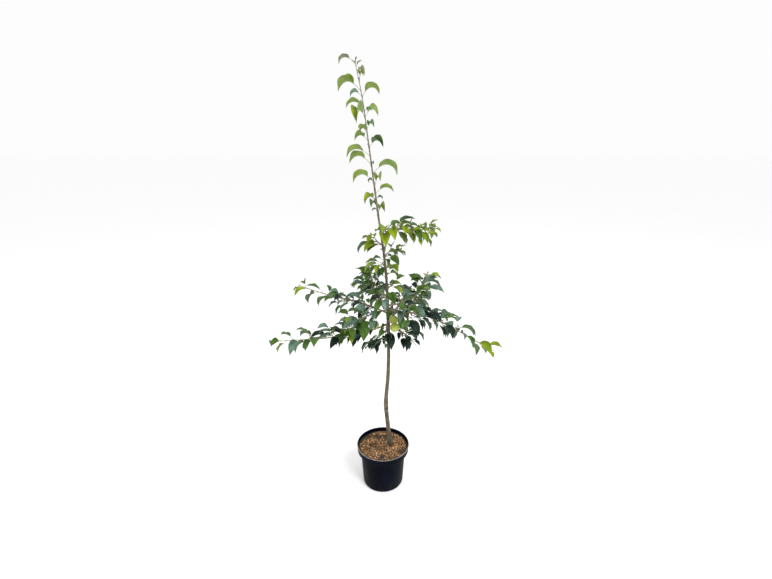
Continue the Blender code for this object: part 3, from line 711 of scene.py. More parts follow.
class Mass:
    """One mass of foliage: its stem, side twigs, leaves and fruit."""

    def __init__(self, crown, limb):
        self.crown = crown
        self.limb = limb
        self.stem = crown.shoots[limb.name]
        self.own_wood = crown.stems[limb.name]
        self.fruits = crown.fruits[limb.name]
        skins = [fruit_samples(centre) for _, centre in self.fruits]
        self.filled = np.concatenate([np.zeros((0, 3))] + skins)
        self.twigs = []
        self.leaves = []
        self.distance = limb.first_bud

    def bud_direction(self, shoot, distance, lean_out, attempt):
        """Direction of a bud round the stem. It strays further with each attempt."""
        forward = shoot.forward(distance)
        reference = RIGHT if abs(forward[2]) > 0.8 else UP
        first = reference - forward * np.dot(reference, forward)
        first /= np.linalg.norm(first)
        second = np.cross(forward, first)
        stray = FIRST_STRAY + MORE_STRAY * attempt
        turn = math.radians(self.turn + self.draw.uniform(-stray, stray))
        lean = math.radians(lean_out + self.draw.uniform(-LEAN_STRAY, LEAN_STRAY))
        outward = first * math.cos(turn) + second * math.sin(turn)
        return forward * math.cos(lean) + outward * math.sin(lean)

    def fits(self, samples, margin):
        """In its own space, and clear of the wood and of what has grown already."""
        if not self.crown.in_own_space(samples, self.limb):
            return False
        if not self.crown.clear_of_wood(samples):
            return False
        if len(self.filled) and distances(samples, self.filled).min() < margin:
            return False
        return True

    def try_leaf(self, shoot, distance, size, clearance=LEAF_CLEARANCE):
        """Grow one leaf at a bud, or leave the bud bare where none fits."""
        for attempt in range(TRIES):
            aim = self.bud_direction(shoot, distance, self.limb.lean_out, attempt)
            heading, foot_slope = heading_and_slope(aim)
            neck_slope = foot_slope + NECK_SHARE * (NECK_SLOPE - foot_slope)
            tip_slope = max(neck_slope - self.draw.uniform(*self.limb.droop), STEEPEST_TIP)
            blade = size * self.draw.uniform(*BLADE_RANGE)
            leaf = Leaf(
                shoot.point(distance),
                heading,
                (foot_slope, neck_slope, tip_slope),
                blade * PETIOLE_SHARE * self.draw.uniform(*PETIOLE_RANGE),
                blade,
                blade * LEAF_WIDTH_SHARE * self.draw.uniform(*WIDTH_RANGE),
                self.draw.uniform(-LEAF_ROLL, LEAF_ROLL),
            )
            samples = blade_samples(leaf)
            if distances(samples, self.own_wood).min() <= LIMB_CLEARANCE:
                continue
            if self.fits(np.concatenate([samples, petiole_samples(leaf)]), clearance):
                self.leaves.append(leaf)
                self.filled = np.concatenate([self.filled, samples])
                return

    def try_twig(self, distance):
        """Grow a short side twig with leaves of its own, where one fits."""
        for attempt in range(TRIES):
            heading, slope = heading_and_slope(self.bud_direction(self.stem, distance, TWIG_LEAN, attempt))
            length = self.draw.uniform(*TWIG_RANGE)
            line = [self.stem.point(distance)]
            for step in range(TWIG_STEPS):
                rise = slope + (TWIG_RISE - slope) * step / TWIG_RISE_STEPS
                line.append(line[-1] + length / TWIG_STEPS * direction(heading, rise))
            twig = Shoot(np.array(line), TWIG_RADIUS, TWIG_TIP_RADIUS)
            if self.fits(twig.samples()[1:], LIMB_CLEARANCE):
                self.twigs.append(twig)
                self.own_wood = np.concatenate([self.own_wood, twig.samples()[1:]])
                return True
        return False

    def grow_stretch(self, index, seed):
        """Grow one stretch of the shoot from its own seed. Side twigs take some buds."""
        self.draw = random.Random(seed)
        self.turn = self.draw.uniform(0.0, 360.0)
        limb = self.limb
        end = self.stem.length * (index + 1) / len(limb.seeds)
        while self.distance < end:
            self.turn += BUD_TURN
            next_twig = TWIGGY_SHARE * self.stem.length * (len(self.twigs) + 0.25) / max(limb.twigs, 1)
            if len(self.twigs) < limb.twigs and self.distance > next_twig:
                self.grow_twig(self.distance)
            else:
                young = min(1.0, YOUNG_SHARE + YOUNG_GAIN * (self.stem.length - self.distance))
                grown = 1.0 if limb.length == SPUR_LENGTH else young
                self.try_leaf(self.stem, self.distance, limb.leaf * grown)
            self.distance += limb.spacing * self.draw.uniform(*SPACING_RANGE)

    def grow_twig(self, distance):
        """A side twig with leaves of its own, or a leaf where no twig fits."""
        if not self.try_twig(distance):
            self.try_leaf(self.stem, distance, self.limb.leaf)
            return
        for share in TWIG_BUDS:
            self.turn += BUD_TURN
            self.try_leaf(self.twigs[-1], share * self.twigs[-1].length, TWIG_LEAF_SHARE * self.limb.leaf)


def grow_mass(crown, limb):
    mass = Mass(crown, limb)
    for index, seed in enumerate(limb.seeds):
        mass.grow_stretch(index, seed)
    return mass


# Finer growth

def grow_finer(mass, seed):
    """Finer twigs and small leaves in the room that the main leaves leave."""
    mass.draw = random.Random(seed)
    mass.turn = mass.draw.uniform(0.0, 360.0)
    leader = mass.limb is LEADER
    spacing = LEADER_FINE_SPACING if leader else FINE_SPACING
    share = LONG_FINE_SHARE if mass.limb.length >= LONG_LIMB and not leader else FINE_SHARE
    distance = 0.5 * spacing
    while distance < mass.stem.length * share:
        mass.turn += BUD_TURN
        size = mass.draw.uniform(*FINE_BLADES) * (LEADER_FINE_SIZE if leader else 1.0)
        if mass.draw.random() < FINE_TWIG_CHANCE and not leader and mass.try_twig(distance):
            twig = mass.twigs[-1]
            for bud in TWIG_BUDS:
                mass.turn += BUD_TURN
                mass.try_leaf(twig, bud * twig.length, TWIG_LEAF_SHARE * size, FINE_CLEARANCE)
        else:
            mass.try_leaf(mass.stem, distance, size, FINE_CLEARANCE)
        distance += spacing * mass.draw.uniform(*SPACING_RANGE)


def grow_crown():
    """Every mass by the shared rule, then its finer growth."""
    crown = Crown()
    masses = []
    for number, limb in enumerate(LIMBS + [LEADER]):
        mass = grow_mass(crown, limb)
        grow_finer(mass, FINE_SEED + number)
        masses.append((limb, mass))
    return masses


def apex_leaves(stem):
    """Small upright leaves still folded at the leader's tip."""
    draw = random.Random(FINE_SEED)
    leaves = []
    for index in range(APEX_LEAVES):
        blade = draw.uniform(*APEX_BLADES)
        slopes = (*APEX_SLOPES, draw.uniform(*APEX_TIP_SLOPES))
        foot = stem.point(stem.length * (APEX_START + APEX_STEP * index))
        petiole = APEX_PETIOLE_SHARE * blade
        leaves.append(Leaf(foot, BUD_TURN * index, slopes, petiole, blade, APEX_WIDTH_SHARE * blade, 0.0))
    return leaves


def share_along(stem, place):
    """How far along a stem, from 0 to 1, it comes nearest to a place."""
    marks = np.linspace(0.0, 1.0, SHARE_STEPS + 1)
    line = np.array([stem.point(mark * stem.length) for mark in marks])
    return float(marks[distances(place[None], line)[0].argmin()])


def crown_zone(limb, share):
    """Zone of the crown that a share of a limb lies in."""
    if limb is LEADER:
        return "leader"
    if limb.height > TOP_HEIGHT:
        return "top"
    if limb.height > UPPER_HEIGHT:
        return "upper"
    if limb.length > ZONED_LIMB and share > OUTER_SHARE:
        return "tips" if share > TIP_SHARE else "outer"
    return "dark" if limb.length < LONG_LIMB and limb.height < DARK_HEIGHT else "heart"


def leaf_tint(draw, limb, share, blade):
    """Tint by place: young tips bright; in the middle of the crown near-black painted shade or a pale
    blue-green painted sky reflection.
    """
    chance = draw.random()
    # Small leaves on the leader take the painted sky reflection
    if limb is LEADER and blade < SMALL_LEAF:
        return "grey"
    if limb is LEADER and share > DUSK_SHARE:
        return "dusk"
    return next(tint for tint, end in ZONE_TINTS[crown_zone(limb, share)] if chance < end)


# Objects and joined pieces

def add_object(name, data):
    """New object in the scene."""
    item = bpy.data.objects.new(name, data)
    bpy.context.scene.collection.objects.link(item)
    return item


def shape_mesh(shape, name):
    """Plain mesh of a finished bmesh."""
    mesh = bpy.data.meshes.new(name)
    shape.to_mesh(mesh)
    shape.free()
    return mesh


def place_piece(item):
    """Let a finished piece ride on the one body."""
    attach(item, BODY)
    return item


def soften(mesh, angle):
    """Smooth shading, with edges past an angle left sharp."""
    mesh.shade_smooth()
    mesh.set_sharp_from_angle(angle=math.radians(angle))


class Skin:
    """Points, faces, UVs and finish numbers gathered for one joined piece."""

    def __init__(self):
        self.points = []
        self.faces = []
        self.uvs = []
        self.kinds = []
        self.count = 0

    def add(self, points, faces, uvs, kinds=None):
        self.points.append(np.asarray(points, float))
        self.uvs.append(np.asarray(uvs, float))
        self.faces += [tuple(corner + self.count for corner in face) for face in faces]
        self.kinds += kinds or [0] * len(faces)
        self.count += len(points)

    def make(self, name, slot, *materials):
        mesh = bpy.data.meshes.new(name)
        mesh.from_pydata(np.concatenate(self.points).tolist(), [], self.faces)
        layer = mesh.uv_layers.new(name="UVMap")
        corners = np.empty(len(mesh.loops), dtype=np.int32)
        mesh.loops.foreach_get("vertex_index", corners)
        layer.data.foreach_set("uv", np.concatenate(self.uvs)[corners].ravel())
        for material in materials:
            mesh.materials.append(material)
        mesh.polygons.foreach_set("material_index", self.kinds)
        soften(mesh, WOOD_SHARP_ANGLE)
        mesh.update()
        return place_piece(add_object(name, mesh))


# Tubes

def turns_round(sides):
    """Angles of points spread evenly round a ring."""
    return [2 * math.pi * side / sides for side in range(sides)]


def spokes(forward, sides):
    """Unit vectors spread round a direction and square to it."""
    reference = RIGHT if abs(forward[2]) > 0.9 else UP
    first = np.cross(forward, reference)
    first /= np.linalg.norm(first)
    second = np.cross(forward, first)
    return np.array([math.cos(turn) * first + math.sin(turn) * second for turn in turns_round(sides)])


def tube_faces(rings, sides):
    """Faces of a closed tube: its sides, then its two ends."""
    faces = []
    for low in range(0, (rings - 1) * sides, sides):
        for side in range(sides):
            after = (side + 1) % sides
            faces.append((low + side, low + after, low + sides + after, low + sides + side))
    faces.append(tuple(range(sides))[::-1])
    faces.append(tuple(range((rings - 1) * sides, rings * sides)))
    return faces


def add_rings(skin, rings):
    """A closed tube through rings of points."""
    sides = len(rings[0])
    along = np.linspace(0.0, 1.0, len(rings))
    uvs = [(side / sides, share) for share in along for side in range(sides)]
    skin.add(np.concatenate(rings), tube_faces(len(rings), sides), uvs)


def add_tube(skin, centres, radii, sides, relief=None):
    """A closed tube along centres, carried on without a twist."""
    centres = np.asarray(centres, float)
    forwards = np.gradient(centres, axis=0)
    forwards /= np.linalg.norm(forwards, axis=1)[:, None]
    ring = spokes(forwards[0], sides)
    rings = []
    for centre, forward, radius in zip(centres, forwards, radii):
        ring = ring - np.outer(ring @ forward, forward)
        ring /= np.linalg.norm(ring, axis=1)[:, None]
        lift = np.array([[relief(centre + radius * spoke)] for spoke in ring]) if relief else 0.0
        rings.append(centre + ring * (radius + lift))
    add_rings(skin, rings)


def bark_relief(place):
    """Fine furrows that run along the wood."""
    return BARK_RELIEF * noise.noise(Vector(value * grain for value, grain in zip(place, BARK_GRAIN)))


def node_swelling(distance, nodes):
    """Thicker wood where leaves and twigs leave it."""
    return 1.0 + NODE_SWELL * sum(math.exp(-(((distance - node) / NODE_LENGTH) ** 2)) for node in nodes)


def nodes_on(mass, start):
    """Distances at which leaves leave a mass's stem, which begins at start."""
    if not mass.leaves:
        return []
    line = mass.stem.points(0.0, mass.stem.length, NODE_MARKS)
    gaps = distances(np.array([leaf.foot for leaf in mass.leaves]), line)
    near = gaps.min(axis=1) < NODE_REACH
    return [start + mass.stem.length * row / NODE_MARKS for row in gaps.argmin(axis=1)[near]]


# Leaves

def leaf_shell_faces(rows, columns):
    """Faces of a thin leaf and the side that each is on: upper 0, under 1."""
    across = columns + 1
    lower = (rows + 1) * across

    def top(row, column):
        return row * across + column

    def under(row, column):
        if column in (0, columns):
            return top(row, column)
        return lower + row * (columns - 1) + column - 1

    tip = lower + (rows + 1) * (columns - 1)
    faces = []
    kinds = []
    for row in range(rows):
        for column in range(columns):
            after = column + 1
            faces.append((top(row, column), top(row, after), top(row + 1, after), top(row + 1, column)))
            back = (under(row, after), under(row, column), under(row + 1, column), under(row + 1, after))
            faces.append(back)
            kinds += [0, 1]
    for column in range(columns):
        after = column + 1
        foot = (top(0, after), top(0, column), under(0, column), under(0, after))
        faces.append(tuple(dict.fromkeys(foot)))
        faces.append((top(rows, column), top(rows, after), tip))
        faces.append((under(rows, after), under(rows, column), tip))
        kinds += [1, 0, 1]
    return faces, kinds


SHELLS = {rows: leaf_shell_faces(rows, len(LEAF_COLUMNS) - 1) for rows in (LEAF_ROWS, SMALL_LEAF_ROWS)}


def add_leaf(skin, leaf, wave, fold_angle):
    """One leaf with a toothed margin, a grooved midrib and puckers between its veins."""
    rows = SMALL_LEAF_ROWS if leaf.blade < SMALL_LEAF else LEAF_ROWS
    faces, kinds = SHELLS[rows]
    fold = math.radians(fold_angle)
    upper = []
    under = []
    upper_uv = []
    under_uv = []
    for row in range(rows + 1):
        share = LAST_ROW_SHARE * row / rows
        centre, normal, side = leaf_frame(leaf, share)
        drawn_out = 1.0 - TIP_DRAW * share**4
        half = max(half_width(leaf, share) * drawn_out, PETIOLE_RADIUS * (1.0 - share))
        tooth = 1.0 + (TOOTH if row % 2 else -TOOTH)
        for across in LEAF_COLUMNS:
            edge = abs(across) == 1.0
            reach = half * across * (tooth if edge else 1.0)
            point = centre + side * reach * math.cos(fold) + normal * abs(reach) * math.sin(fold)
            vein = math.sin(2 * math.pi * (share * SIDE_VEINS - abs(across) * VEIN_SLANT))
            lift = PUCKER * vein * (1.0 - abs(2 * abs(across) - 1.0))
            lift -= MIDRIB_GROOVE if abs(across) == RIB_COLUMN else 0.0
            lift += MARGIN_WAVE * across**2 * math.sin(wave + MARGIN_WAVES * share + WAVE_SKEW * across)
            uv = (0.5 + 0.5 * across, share)
            upper.append(point + normal * (lift + 0.5 * SHELL_THICKNESS * (not edge)))
            upper_uv.append(uv)
            if not edge:
                under.append(point + normal * (lift - 0.5 * SHELL_THICKNESS))
                under_uv.append(uv)
    tip = leaf_frame(leaf, 1.0)[0]
    skin.add(upper + under + [tip], faces, upper_uv + under_uv + [(0.5, 1.0)], kinds)


def add_petiole(skin, leaf):
    """Leaf stalk, carried on as the midrib under the blade."""
    centres = []
    radii = []
    for share in np.linspace(0.0, 1.0, 7)[:-1]:
        centres.append(leaf_frame(leaf, share, on_blade=False)[0])
        radii.append(STALK_RADIUS + STALK_FOOT_SWELL * (1.0 - share) ** 4)
    for share in np.linspace(0.0, 0.9, 9):
        centre, normal, _ = leaf_frame(leaf, share)
        centres.append(centre - normal * (MIDRIB_GROOVE + MIDRIB_SINK))
        radii.append(MIDRIB_RADIUS * (1.0 - share) + MIDRIB_END_RADIUS)
    add_tube(skin, centres, radii, STALK_SIDES)


def add_bud(skin, foot, forward, outward=np.zeros(3), length=BUD_LENGTH):
    """Pointed bud at a tip or in a leaf's axil, there turned a little outwards."""
    aim = forward + BUD_LEAN * outward
    aim /= np.linalg.norm(aim)
    start = foot + BUD_SET_OUT * outward
    centres = [start + aim * length * share for share, _ in BUD_SHAPE]
    radii = [BUD_RADIUS * length / BUD_LENGTH * share for _, share in BUD_SHAPE]
    add_tube(skin, centres, radii, STALK_SIDES)


# Shader nodes

def add_node(tree, kind, inputs=(), **settings):
    """New node with its settings and inputs, each a socket to link or a plain value."""
    node = tree.nodes.new(kind)
    for name, value in settings.items():
        setattr(node, name, value)
    for name, value in dict(inputs).items():
        if isinstance(value, bpy.types.NodeSocket):
            tree.links.new(value, node.inputs[name])
        else:
            node.inputs[name].default_value = value
    return node


def maths(tree, operation, first, second=None):
    """Output of one Math node on sockets or numbers."""
    values = {0: first} if second is None else {0: first, 1: second}
    return add_node(tree, "ShaderNodeMath", values, operation=operation).outputs[0]


def times(tree, first, second):
    return maths(tree, "MULTIPLY", first, second)


def blend_colours(tree, factor, first, second):
    """Output of a colour mix, from first at 0 to second at 1."""
    first, second = ((*side, 1.0) if isinstance(side, tuple) else side for side in (first, second))
    node = add_node(tree, "ShaderNodeMix", {0: factor, 6: first, 7: second}, data_type="RGBA")
    return node.outputs[2]


def remap(tree, value, low, high, to_low=0.0, to_high=1.0):
    """Output of a clamped Map Range node."""
    values = {"Value": value, "From Min": low, "From Max": high, "To Min": to_low, "To Max": to_high}
    return add_node(tree, "ShaderNodeMapRange", values).outputs["Result"]


def axis_of(tree, vector, axis):
    """One coordinate of a vector."""
    return add_node(tree, "ShaderNodeSeparateXYZ", {"Vector": vector}).outputs[axis]


def stretch(tree, vector, scales):
    """A vector scaled along each axis."""
    return add_node(tree, "ShaderNodeVectorMath", {0: vector, 1: scales}, operation="MULTIPLY").outputs[0]


def soft_noise(tree, vector, scale, detail, roughness=0.5):
    """Noise from 0 to 1."""
    values = {"Vector": vector, "Scale": scale, "Detail": detail, "Roughness": roughness}
    return add_node(tree, "ShaderNodeTexNoise", values).outputs["Fac"]


def new_group(name, inputs, outputs):
    """Shader group with named sockets, given as (name, kind, default)."""
    tree = bpy.data.node_groups.new(name, "ShaderNodeTree")
    for label, kind, value in inputs:
        socket = tree.interface.new_socket(label, in_out="INPUT", socket_type="NodeSocket" + kind)
        if value is not None:
            socket.default_value = value
    for label, kind in outputs:
        tree.interface.new_socket(label, in_out="OUTPUT", socket_type="NodeSocket" + kind)
    return tree, tree.nodes.new("NodeGroupInput").outputs, tree.nodes.new("NodeGroupOutput").inputs


def mottle_group():
    """Two colours mixed in soft patches with finer grain over them."""
    tree, given, result = new_group(
        "Mottle",
        (
            ("Vector", "Vector", None),
            ("Patch Scale", "Float", 20.0),
            ("Grain Scale", "Float", 400.0),
            ("First", "Color", (0.1, 0.1, 0.1, 1.0)),
            ("Second", "Color", (0.2, 0.2, 0.2, 1.0)),
        ),
        (("Color", "Color"), ("Grain", "Float")),
    )
    patches = soft_noise(tree, given["Vector"], given["Patch Scale"], 3.0)
    grain = soft_noise(tree, given["Vector"], given["Grain Scale"], 2.0)
    spread = remap(tree, patches, 0.36, 0.64)
    factor = maths(tree, "ADD", spread, remap(tree, grain, 0.3, 0.7, -0.15, 0.15))
    tree.links.new(blend_colours(tree, factor, given["First"], given["Second"]), result["Color"])
    tree.links.new(grain, result["Grain"])
    return tree


def vein_group():
    """Midrib, side veins and the fine net between them, on a leaf's own UV map."""
    tree, given, result = new_group(
        "Leaf Veins",
        (
            ("UV", "Vector", None),
            ("Side Veins", "Float", float(SIDE_VEINS)),
            ("Slant", "Float", VEIN_SLANT),
        ),
        (("Veins", "Float"), ("Height", "Float")),
    )
    centred = maths(tree, "SUBTRACT", axis_of(tree, given["UV"], "X"), 0.5)
    across = times(tree, maths(tree, "ABSOLUTE", centred), 2.0)
    along = times(tree, axis_of(tree, given["UV"], "Y"), given["Side Veins"])
    slanted = maths(tree, "SUBTRACT", along, times(tree, across, given["Slant"]))
    phase = maths(tree, "SUBTRACT", maths(tree, "FRACT", slanted), 0.5)
    ridge = times(tree, maths(tree, "ABSOLUTE", phase), 2.0)
    side = maths(tree, "POWER", ridge, 14.0)
    rib = maths(tree, "POWER", maths(tree, "SUBTRACT", 1.0, across), 26.0)
    veins = maths(tree, "MAXIMUM", side, rib)
    net = add_node(
        tree,
        "ShaderNodeTexVoronoi",
        {"Vector": stretch(tree, given["UV"], (26.0, 60.0, 1.0)), "Scale": 1.0},
        feature="DISTANCE_TO_EDGE",
    )
    mesh_lines = remap(tree, net.outputs["Distance"], 0.0, 0.12, 0.35, 0.0)
    tree.links.new(veins, result["Veins"])
    tree.links.new(maths(tree, "MAXIMUM", veins, mesh_lines), result["Height"])
    return tree


def dot_group():
    """Small raised dots or short dashes spread over a surface."""
    tree, given, result = new_group(
        "Lenticels",
        (("Vector", "Vector", None), ("Spacing", "Vector", (300.0, 300.0, 300.0)), ("Size", "Float", 0.22)),
        (("Dots", "Float"),),
    )
    scaled = stretch(tree, given["Vector"], given["Spacing"])
    cells = add_node(tree, "ShaderNodeTexVoronoi", {"Vector": scaled, "Scale": 1.0})
    edge = maths(tree, "SUBTRACT", given["Size"], cells.outputs["Distance"])
    tree.links.new(remap(tree, edge, 0.0, 0.06), result["Dots"])
    return tree


MOTTLE = mottle_group()
VEINS = vein_group()
LENTICELS = dot_group()


def use_group(tree, group, inputs):
    return add_node(tree, "ShaderNodeGroup", inputs, node_tree=group).outputs


def mottle(tree, spot, patch_scale, grain_scale, first, second):
    """Two colours in patches: their mix, and the grain that lies over it."""
    values = {"Vector": spot, "Patch Scale": patch_scale, "Grain Scale": grain_scale}
    values.update({"First": (*first, 1.0), "Second": (*second, 1.0)})
    made = use_group(tree, MOTTLE, values)
    return made["Color"], made["Grain"]


def lenticels(tree, spot, spacing, size):
    return use_group(tree, LENTICELS, {"Vector": spot, "Spacing": spacing, "Size": size})["Dots"]


# Materials

def new_material(name, roughness, coat=0.0, gloss=0.4):
    """Material with its tree, its Principled surface, object coordinates and UVs."""
    material = bpy.data.materials.new(name)
    material.use_nodes = True
    tree = material.node_tree
    surface = tree.nodes["Principled BSDF"].inputs
    surface["Roughness"].default_value = roughness
    surface["Coat Weight"].default_value = coat
    surface["Coat Roughness"].default_value = 0.25
    surface["Specular IOR Level"].default_value = gloss
    place = tree.nodes.new("ShaderNodeTexCoord").outputs
    return material, tree, surface, place["Object"], place["UV"]


def finish(tree, surface, colour, height, strength, distance):
    """Lead a colour and a bump to a surface."""
    tree.links.new(colour, surface["Base Color"])
    values = {"Height": height, "Strength": strength, "Distance": distance}
    tree.links.new(add_node(tree, "ShaderNodeBump", values).outputs["Normal"], surface["Normal"])


def leaf_material(name, colours, roughness, coat, vein_share):
    """One side of a leaf: patches of two greens, paler veins and a soft gloss."""
    low, high, vein = colours
    material, tree, surface, spot, uv = new_material(name, roughness, coat, gloss=0.10)
    colour, grain = mottle(tree, spot, 24.0, 520.0, low, high)
    veins = use_group(tree, VEINS, {"UV": uv})
    colour = blend_colours(tree, times(tree, veins["Veins"], vein_share), colour, vein)
    tree.links.new(remap(tree, grain, 0.3, 0.7, roughness - 0.06, roughness + 0.10), surface["Roughness"])
    finish(tree, surface, colour, veins["Height"], 0.35, 0.0006)
    return material


def bark_material():
    """Grey-olive bark below, red-brown young bark above, dusky at the tip."""
    material, tree, surface, spot, _ = new_material("grey_bark", 0.78)
    old, _ = mottle(tree, spot, 38.0, 600.0, *OLD_BARK)
    young, _ = mottle(tree, spot, 30.0, 600.0, *RED_BARK)
    height = axis_of(tree, spot, "Z")
    colour = blend_colours(tree, remap(tree, height, *RED_BARK_HEIGHTS), old, young)
    colour = blend_colours(tree, remap(tree, height, *TIP_BARK_HEIGHTS), colour, TIP_BARK)
    algae = remap(tree, soft_noise(tree, spot, 60.0, 4.0, 0.7), 0.52, 0.62)
    zone = times(tree, remap(tree, height, *ALGAE_FROM_BELOW), remap(tree, height, *ALGAE_FROM_ABOVE))
    colour = blend_colours(tree, times(tree, times(tree, algae, zone), 0.6), colour, ALGAE)
    dashes = lenticels(tree, spot, (170.0, 170.0, 420.0), 0.20)
    colour = blend_colours(tree, times(tree, dashes, 0.55), colour, BARK_LENTICEL)
    furrows = soft_noise(tree, stretch(tree, spot, (900.0, 900.0, 160.0)), 1.0, 3.0)
    finish(tree, surface, colour, maths(tree, "ADD", furrows, times(tree, dashes, 0.8)), 0.5, 0.0006)
    return material


def limb_material():
    """Smooth young bark that turns from red-brown to green along each limb."""
    material, tree, surface, spot, uv = new_material("young_bark", 0.52, 0.12)
    brown, _ = mottle(tree, spot, 45.0, 700.0, *LIMB_BARK)
    colour = blend_colours(tree, remap(tree, axis_of(tree, uv, "Y"), 0.55, 1.0), brown, GREEN_LIMB)
    dots = lenticels(tree, spot, (330.0, 330.0, 330.0), 0.16)
    colour = blend_colours(tree, times(tree, dots, 0.6), colour, LIMB_LENTICEL)
    finish(tree, surface, colour, dots, 0.3, 0.0003)
    return material


def stalk_material(name, colours, roughness):
    """Twigs, stalks, buds and sepals."""
    material, tree, surface, spot, _ = new_material(name, roughness, 0.1)
    colour, grain = mottle(tree, spot, 60.0, 900.0, *colours)
    finish(tree, surface, colour, grain, 0.2, 0.0003)
    return material


def fruit_material():
    """Yellow-green skin with russet dots, and russet round the stalk and the eye."""
    material, tree, surface, spot, uv = new_material("pear_skin", 0.38, 0.25)
    skin, _ = mottle(tree, spot, 55.0, 800.0, *PEAR_SKIN)
    dots = lenticels(tree, spot, (420.0, 420.0, 420.0), 0.21)
    colour = blend_colours(tree, times(tree, dots, 0.7), skin, FRUIT_DOT)
    from_middle = maths(tree, "ABSOLUTE", maths(tree, "SUBTRACT", axis_of(tree, uv, "Y"), 0.5))
    colour = blend_colours(tree, remap(tree, from_middle, 0.42, 0.50), colour, RUSSET)
    finish(tree, surface, colour, dots, 0.25, 0.0003)
    return material


def pot_material():
    """Black moulded plastic tinted navy as a painted sheen, with fine texture, dust near the foot and a
    painted highlight on the rim's top, strongest at the front.
    """
    material, tree, surface, spot, _ = new_material("black_plastic", 0.50, gloss=0.03)
    # Near-black base, tinted navy as a painted sheen
    colour, grain = mottle(tree, spot, 9.0, 1500.0, *BLACK_PLASTIC_PAINTED_SHEEN)
    height = axis_of(tree, spot, "Z")
    dust_and_highlight_noise = soft_noise(tree, stretch(tree, spot, (60.0, 60.0, 9.0)), 1.0, 5.0)
    low_dust = times(tree, remap(tree, height, 0.06, 0.0), remap(tree, dust_and_highlight_noise, 0.45, 0.75, 0.0, 0.12))
    colour = blend_colours(tree, low_dust, colour, POT_DUST)
    # Painted highlight: the top of the rim made paler in noisy patches, most at the front
    rim_highlight_mask = remap(tree, height, POT_HEIGHT - 0.0032, POT_HEIGHT - 0.0010)
    rim_highlight_mask = times(tree, rim_highlight_mask, remap(tree, dust_and_highlight_noise, 0.30, 0.60, 0.25, 0.85))
    rim_highlight_mask = times(tree, rim_highlight_mask, remap(tree, axis_of(tree, spot, "Y"), 0.03, -0.04, 0.12, 1.0))
    colour = blend_colours(tree, rim_highlight_mask, colour, RIM_PAINTED_HIGHLIGHT)
    tree.links.new(remap(tree, dust_and_highlight_noise, 0.3, 0.7, 0.34, 0.52), surface["Roughness"])
    finish(tree, surface, colour, grain, 0.18, 0.0003)
    return material


def mulch_material(name, colours):
    """Bark chip or compost: fibrous, with two browns in patches and darker where damp."""
    material, tree, surface, spot, _ = new_material(name, 0.92)
    colour, grain = mottle(tree, spot, 110.0, 1300.0, *colours)
    damp = remap(tree, soft_noise(tree, spot, 24.0, 2.0), 0.50, 0.60, 0.0, 0.85)
    finish(tree, surface, blend_colours(tree, damp, colour, DAMP_BARK), grain, 0.6, 0.0008)
    return material


def under_side(colour):
    """Paler, greyer colour of a leaf's lower side."""
    return tuple(part + UNDER_SHARE * (pale - part) for part, pale in zip(colour, UNDER_PALE))


# Pieces of the tree

def ring_marks(stem, step, fewest):
    """Distances along a stem for its rings, about a step apart."""
    return np.linspace(0.0, stem.length, max(fewest, round(stem.length / step)))


def add_stem(skin, stem, marks, radii, sides, relief=None):
    add_tube(skin, [stem.point(mark) for mark in marks], radii, sides, relief)


def make_foliage(masses):
    """Leaves by tint, then leaf stalks, twigs and buds, each kind joined."""
    blades = {tint: Skin() for tint in LEAF_TINTS}
    stalks = Skin()
    twigs = Skin()
    buds = Skin()
    draw = random.Random(FINE_SEED)
    for limb, mass in masses:
        for leaf in mass.leaves:
            share = share_along(mass.stem, leaf.foot)
            tint = leaf_tint(draw, limb, share, leaf.blade)
            fold = LEADER_FOLD if limb is LEADER else LEAF_FOLD
            add_leaf(blades[tint], leaf, draw.uniform(0.0, 6.28), fold)
            add_petiole(stalks, leaf)
            outward = leaf_frame(leaf, 1.0, on_blade=False)[0] - leaf.foot
            outward /= np.linalg.norm(outward)
            forward = mass.stem.forward(share * mass.stem.length)
            add_bud(buds, leaf.foot, forward, outward, BUD_LENGTH * draw.uniform(*BUD_SIZES))
        for twig in mass.twigs:
            marks = ring_marks(twig, TWIG_RING_STEP, 6)
            add_stem(twigs, twig, marks, [twig.radius(mark) for mark in marks], TWIG_SIDES)
        for stem in mass.twigs + [mass.stem]:
            add_bud(buds, stem.point(stem.length), stem.forward(stem.length))
    for leaf in apex_leaves(masses[-1][1].stem):
        add_leaf(blades["dusk"], leaf, 0.0, LEADER_FOLD)
        add_petiole(stalks, leaf)
    pieces = []
    for tint, skin in blades.items():
        pale = [under_side(colour) for colour in LEAF_TINTS[tint]]
        upper = leaf_material("leaf_" + tint + "_upper", LEAF_TINTS[tint], 0.40, 0.12, 0.40)
        under = leaf_material("leaf_" + tint + "_under", pale, 0.58, 0.0, 0.50)
        pieces.append(skin.make("leaves_" + tint, "foliage", upper, under))
    stalk = stalk_material("leaf_stalk", LEAF_STALK, 0.45)
    pieces.append(stalks.make("leaf_stalks", "foliage", stalk))
    twig = stalk_material("green_twig", GREEN_TWIG, 0.50)
    pieces.append(twigs.make("twigs", "foliage", twig))
    scale = stalk_material("bud_scale", BUD_SCALE, 0.60)
    pieces.append(buds.make("buds", "foliage", scale))
    names = ["foliage_" + limb.name for limb, _ in masses]
    for piece in pieces:
        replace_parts(piece, *names)


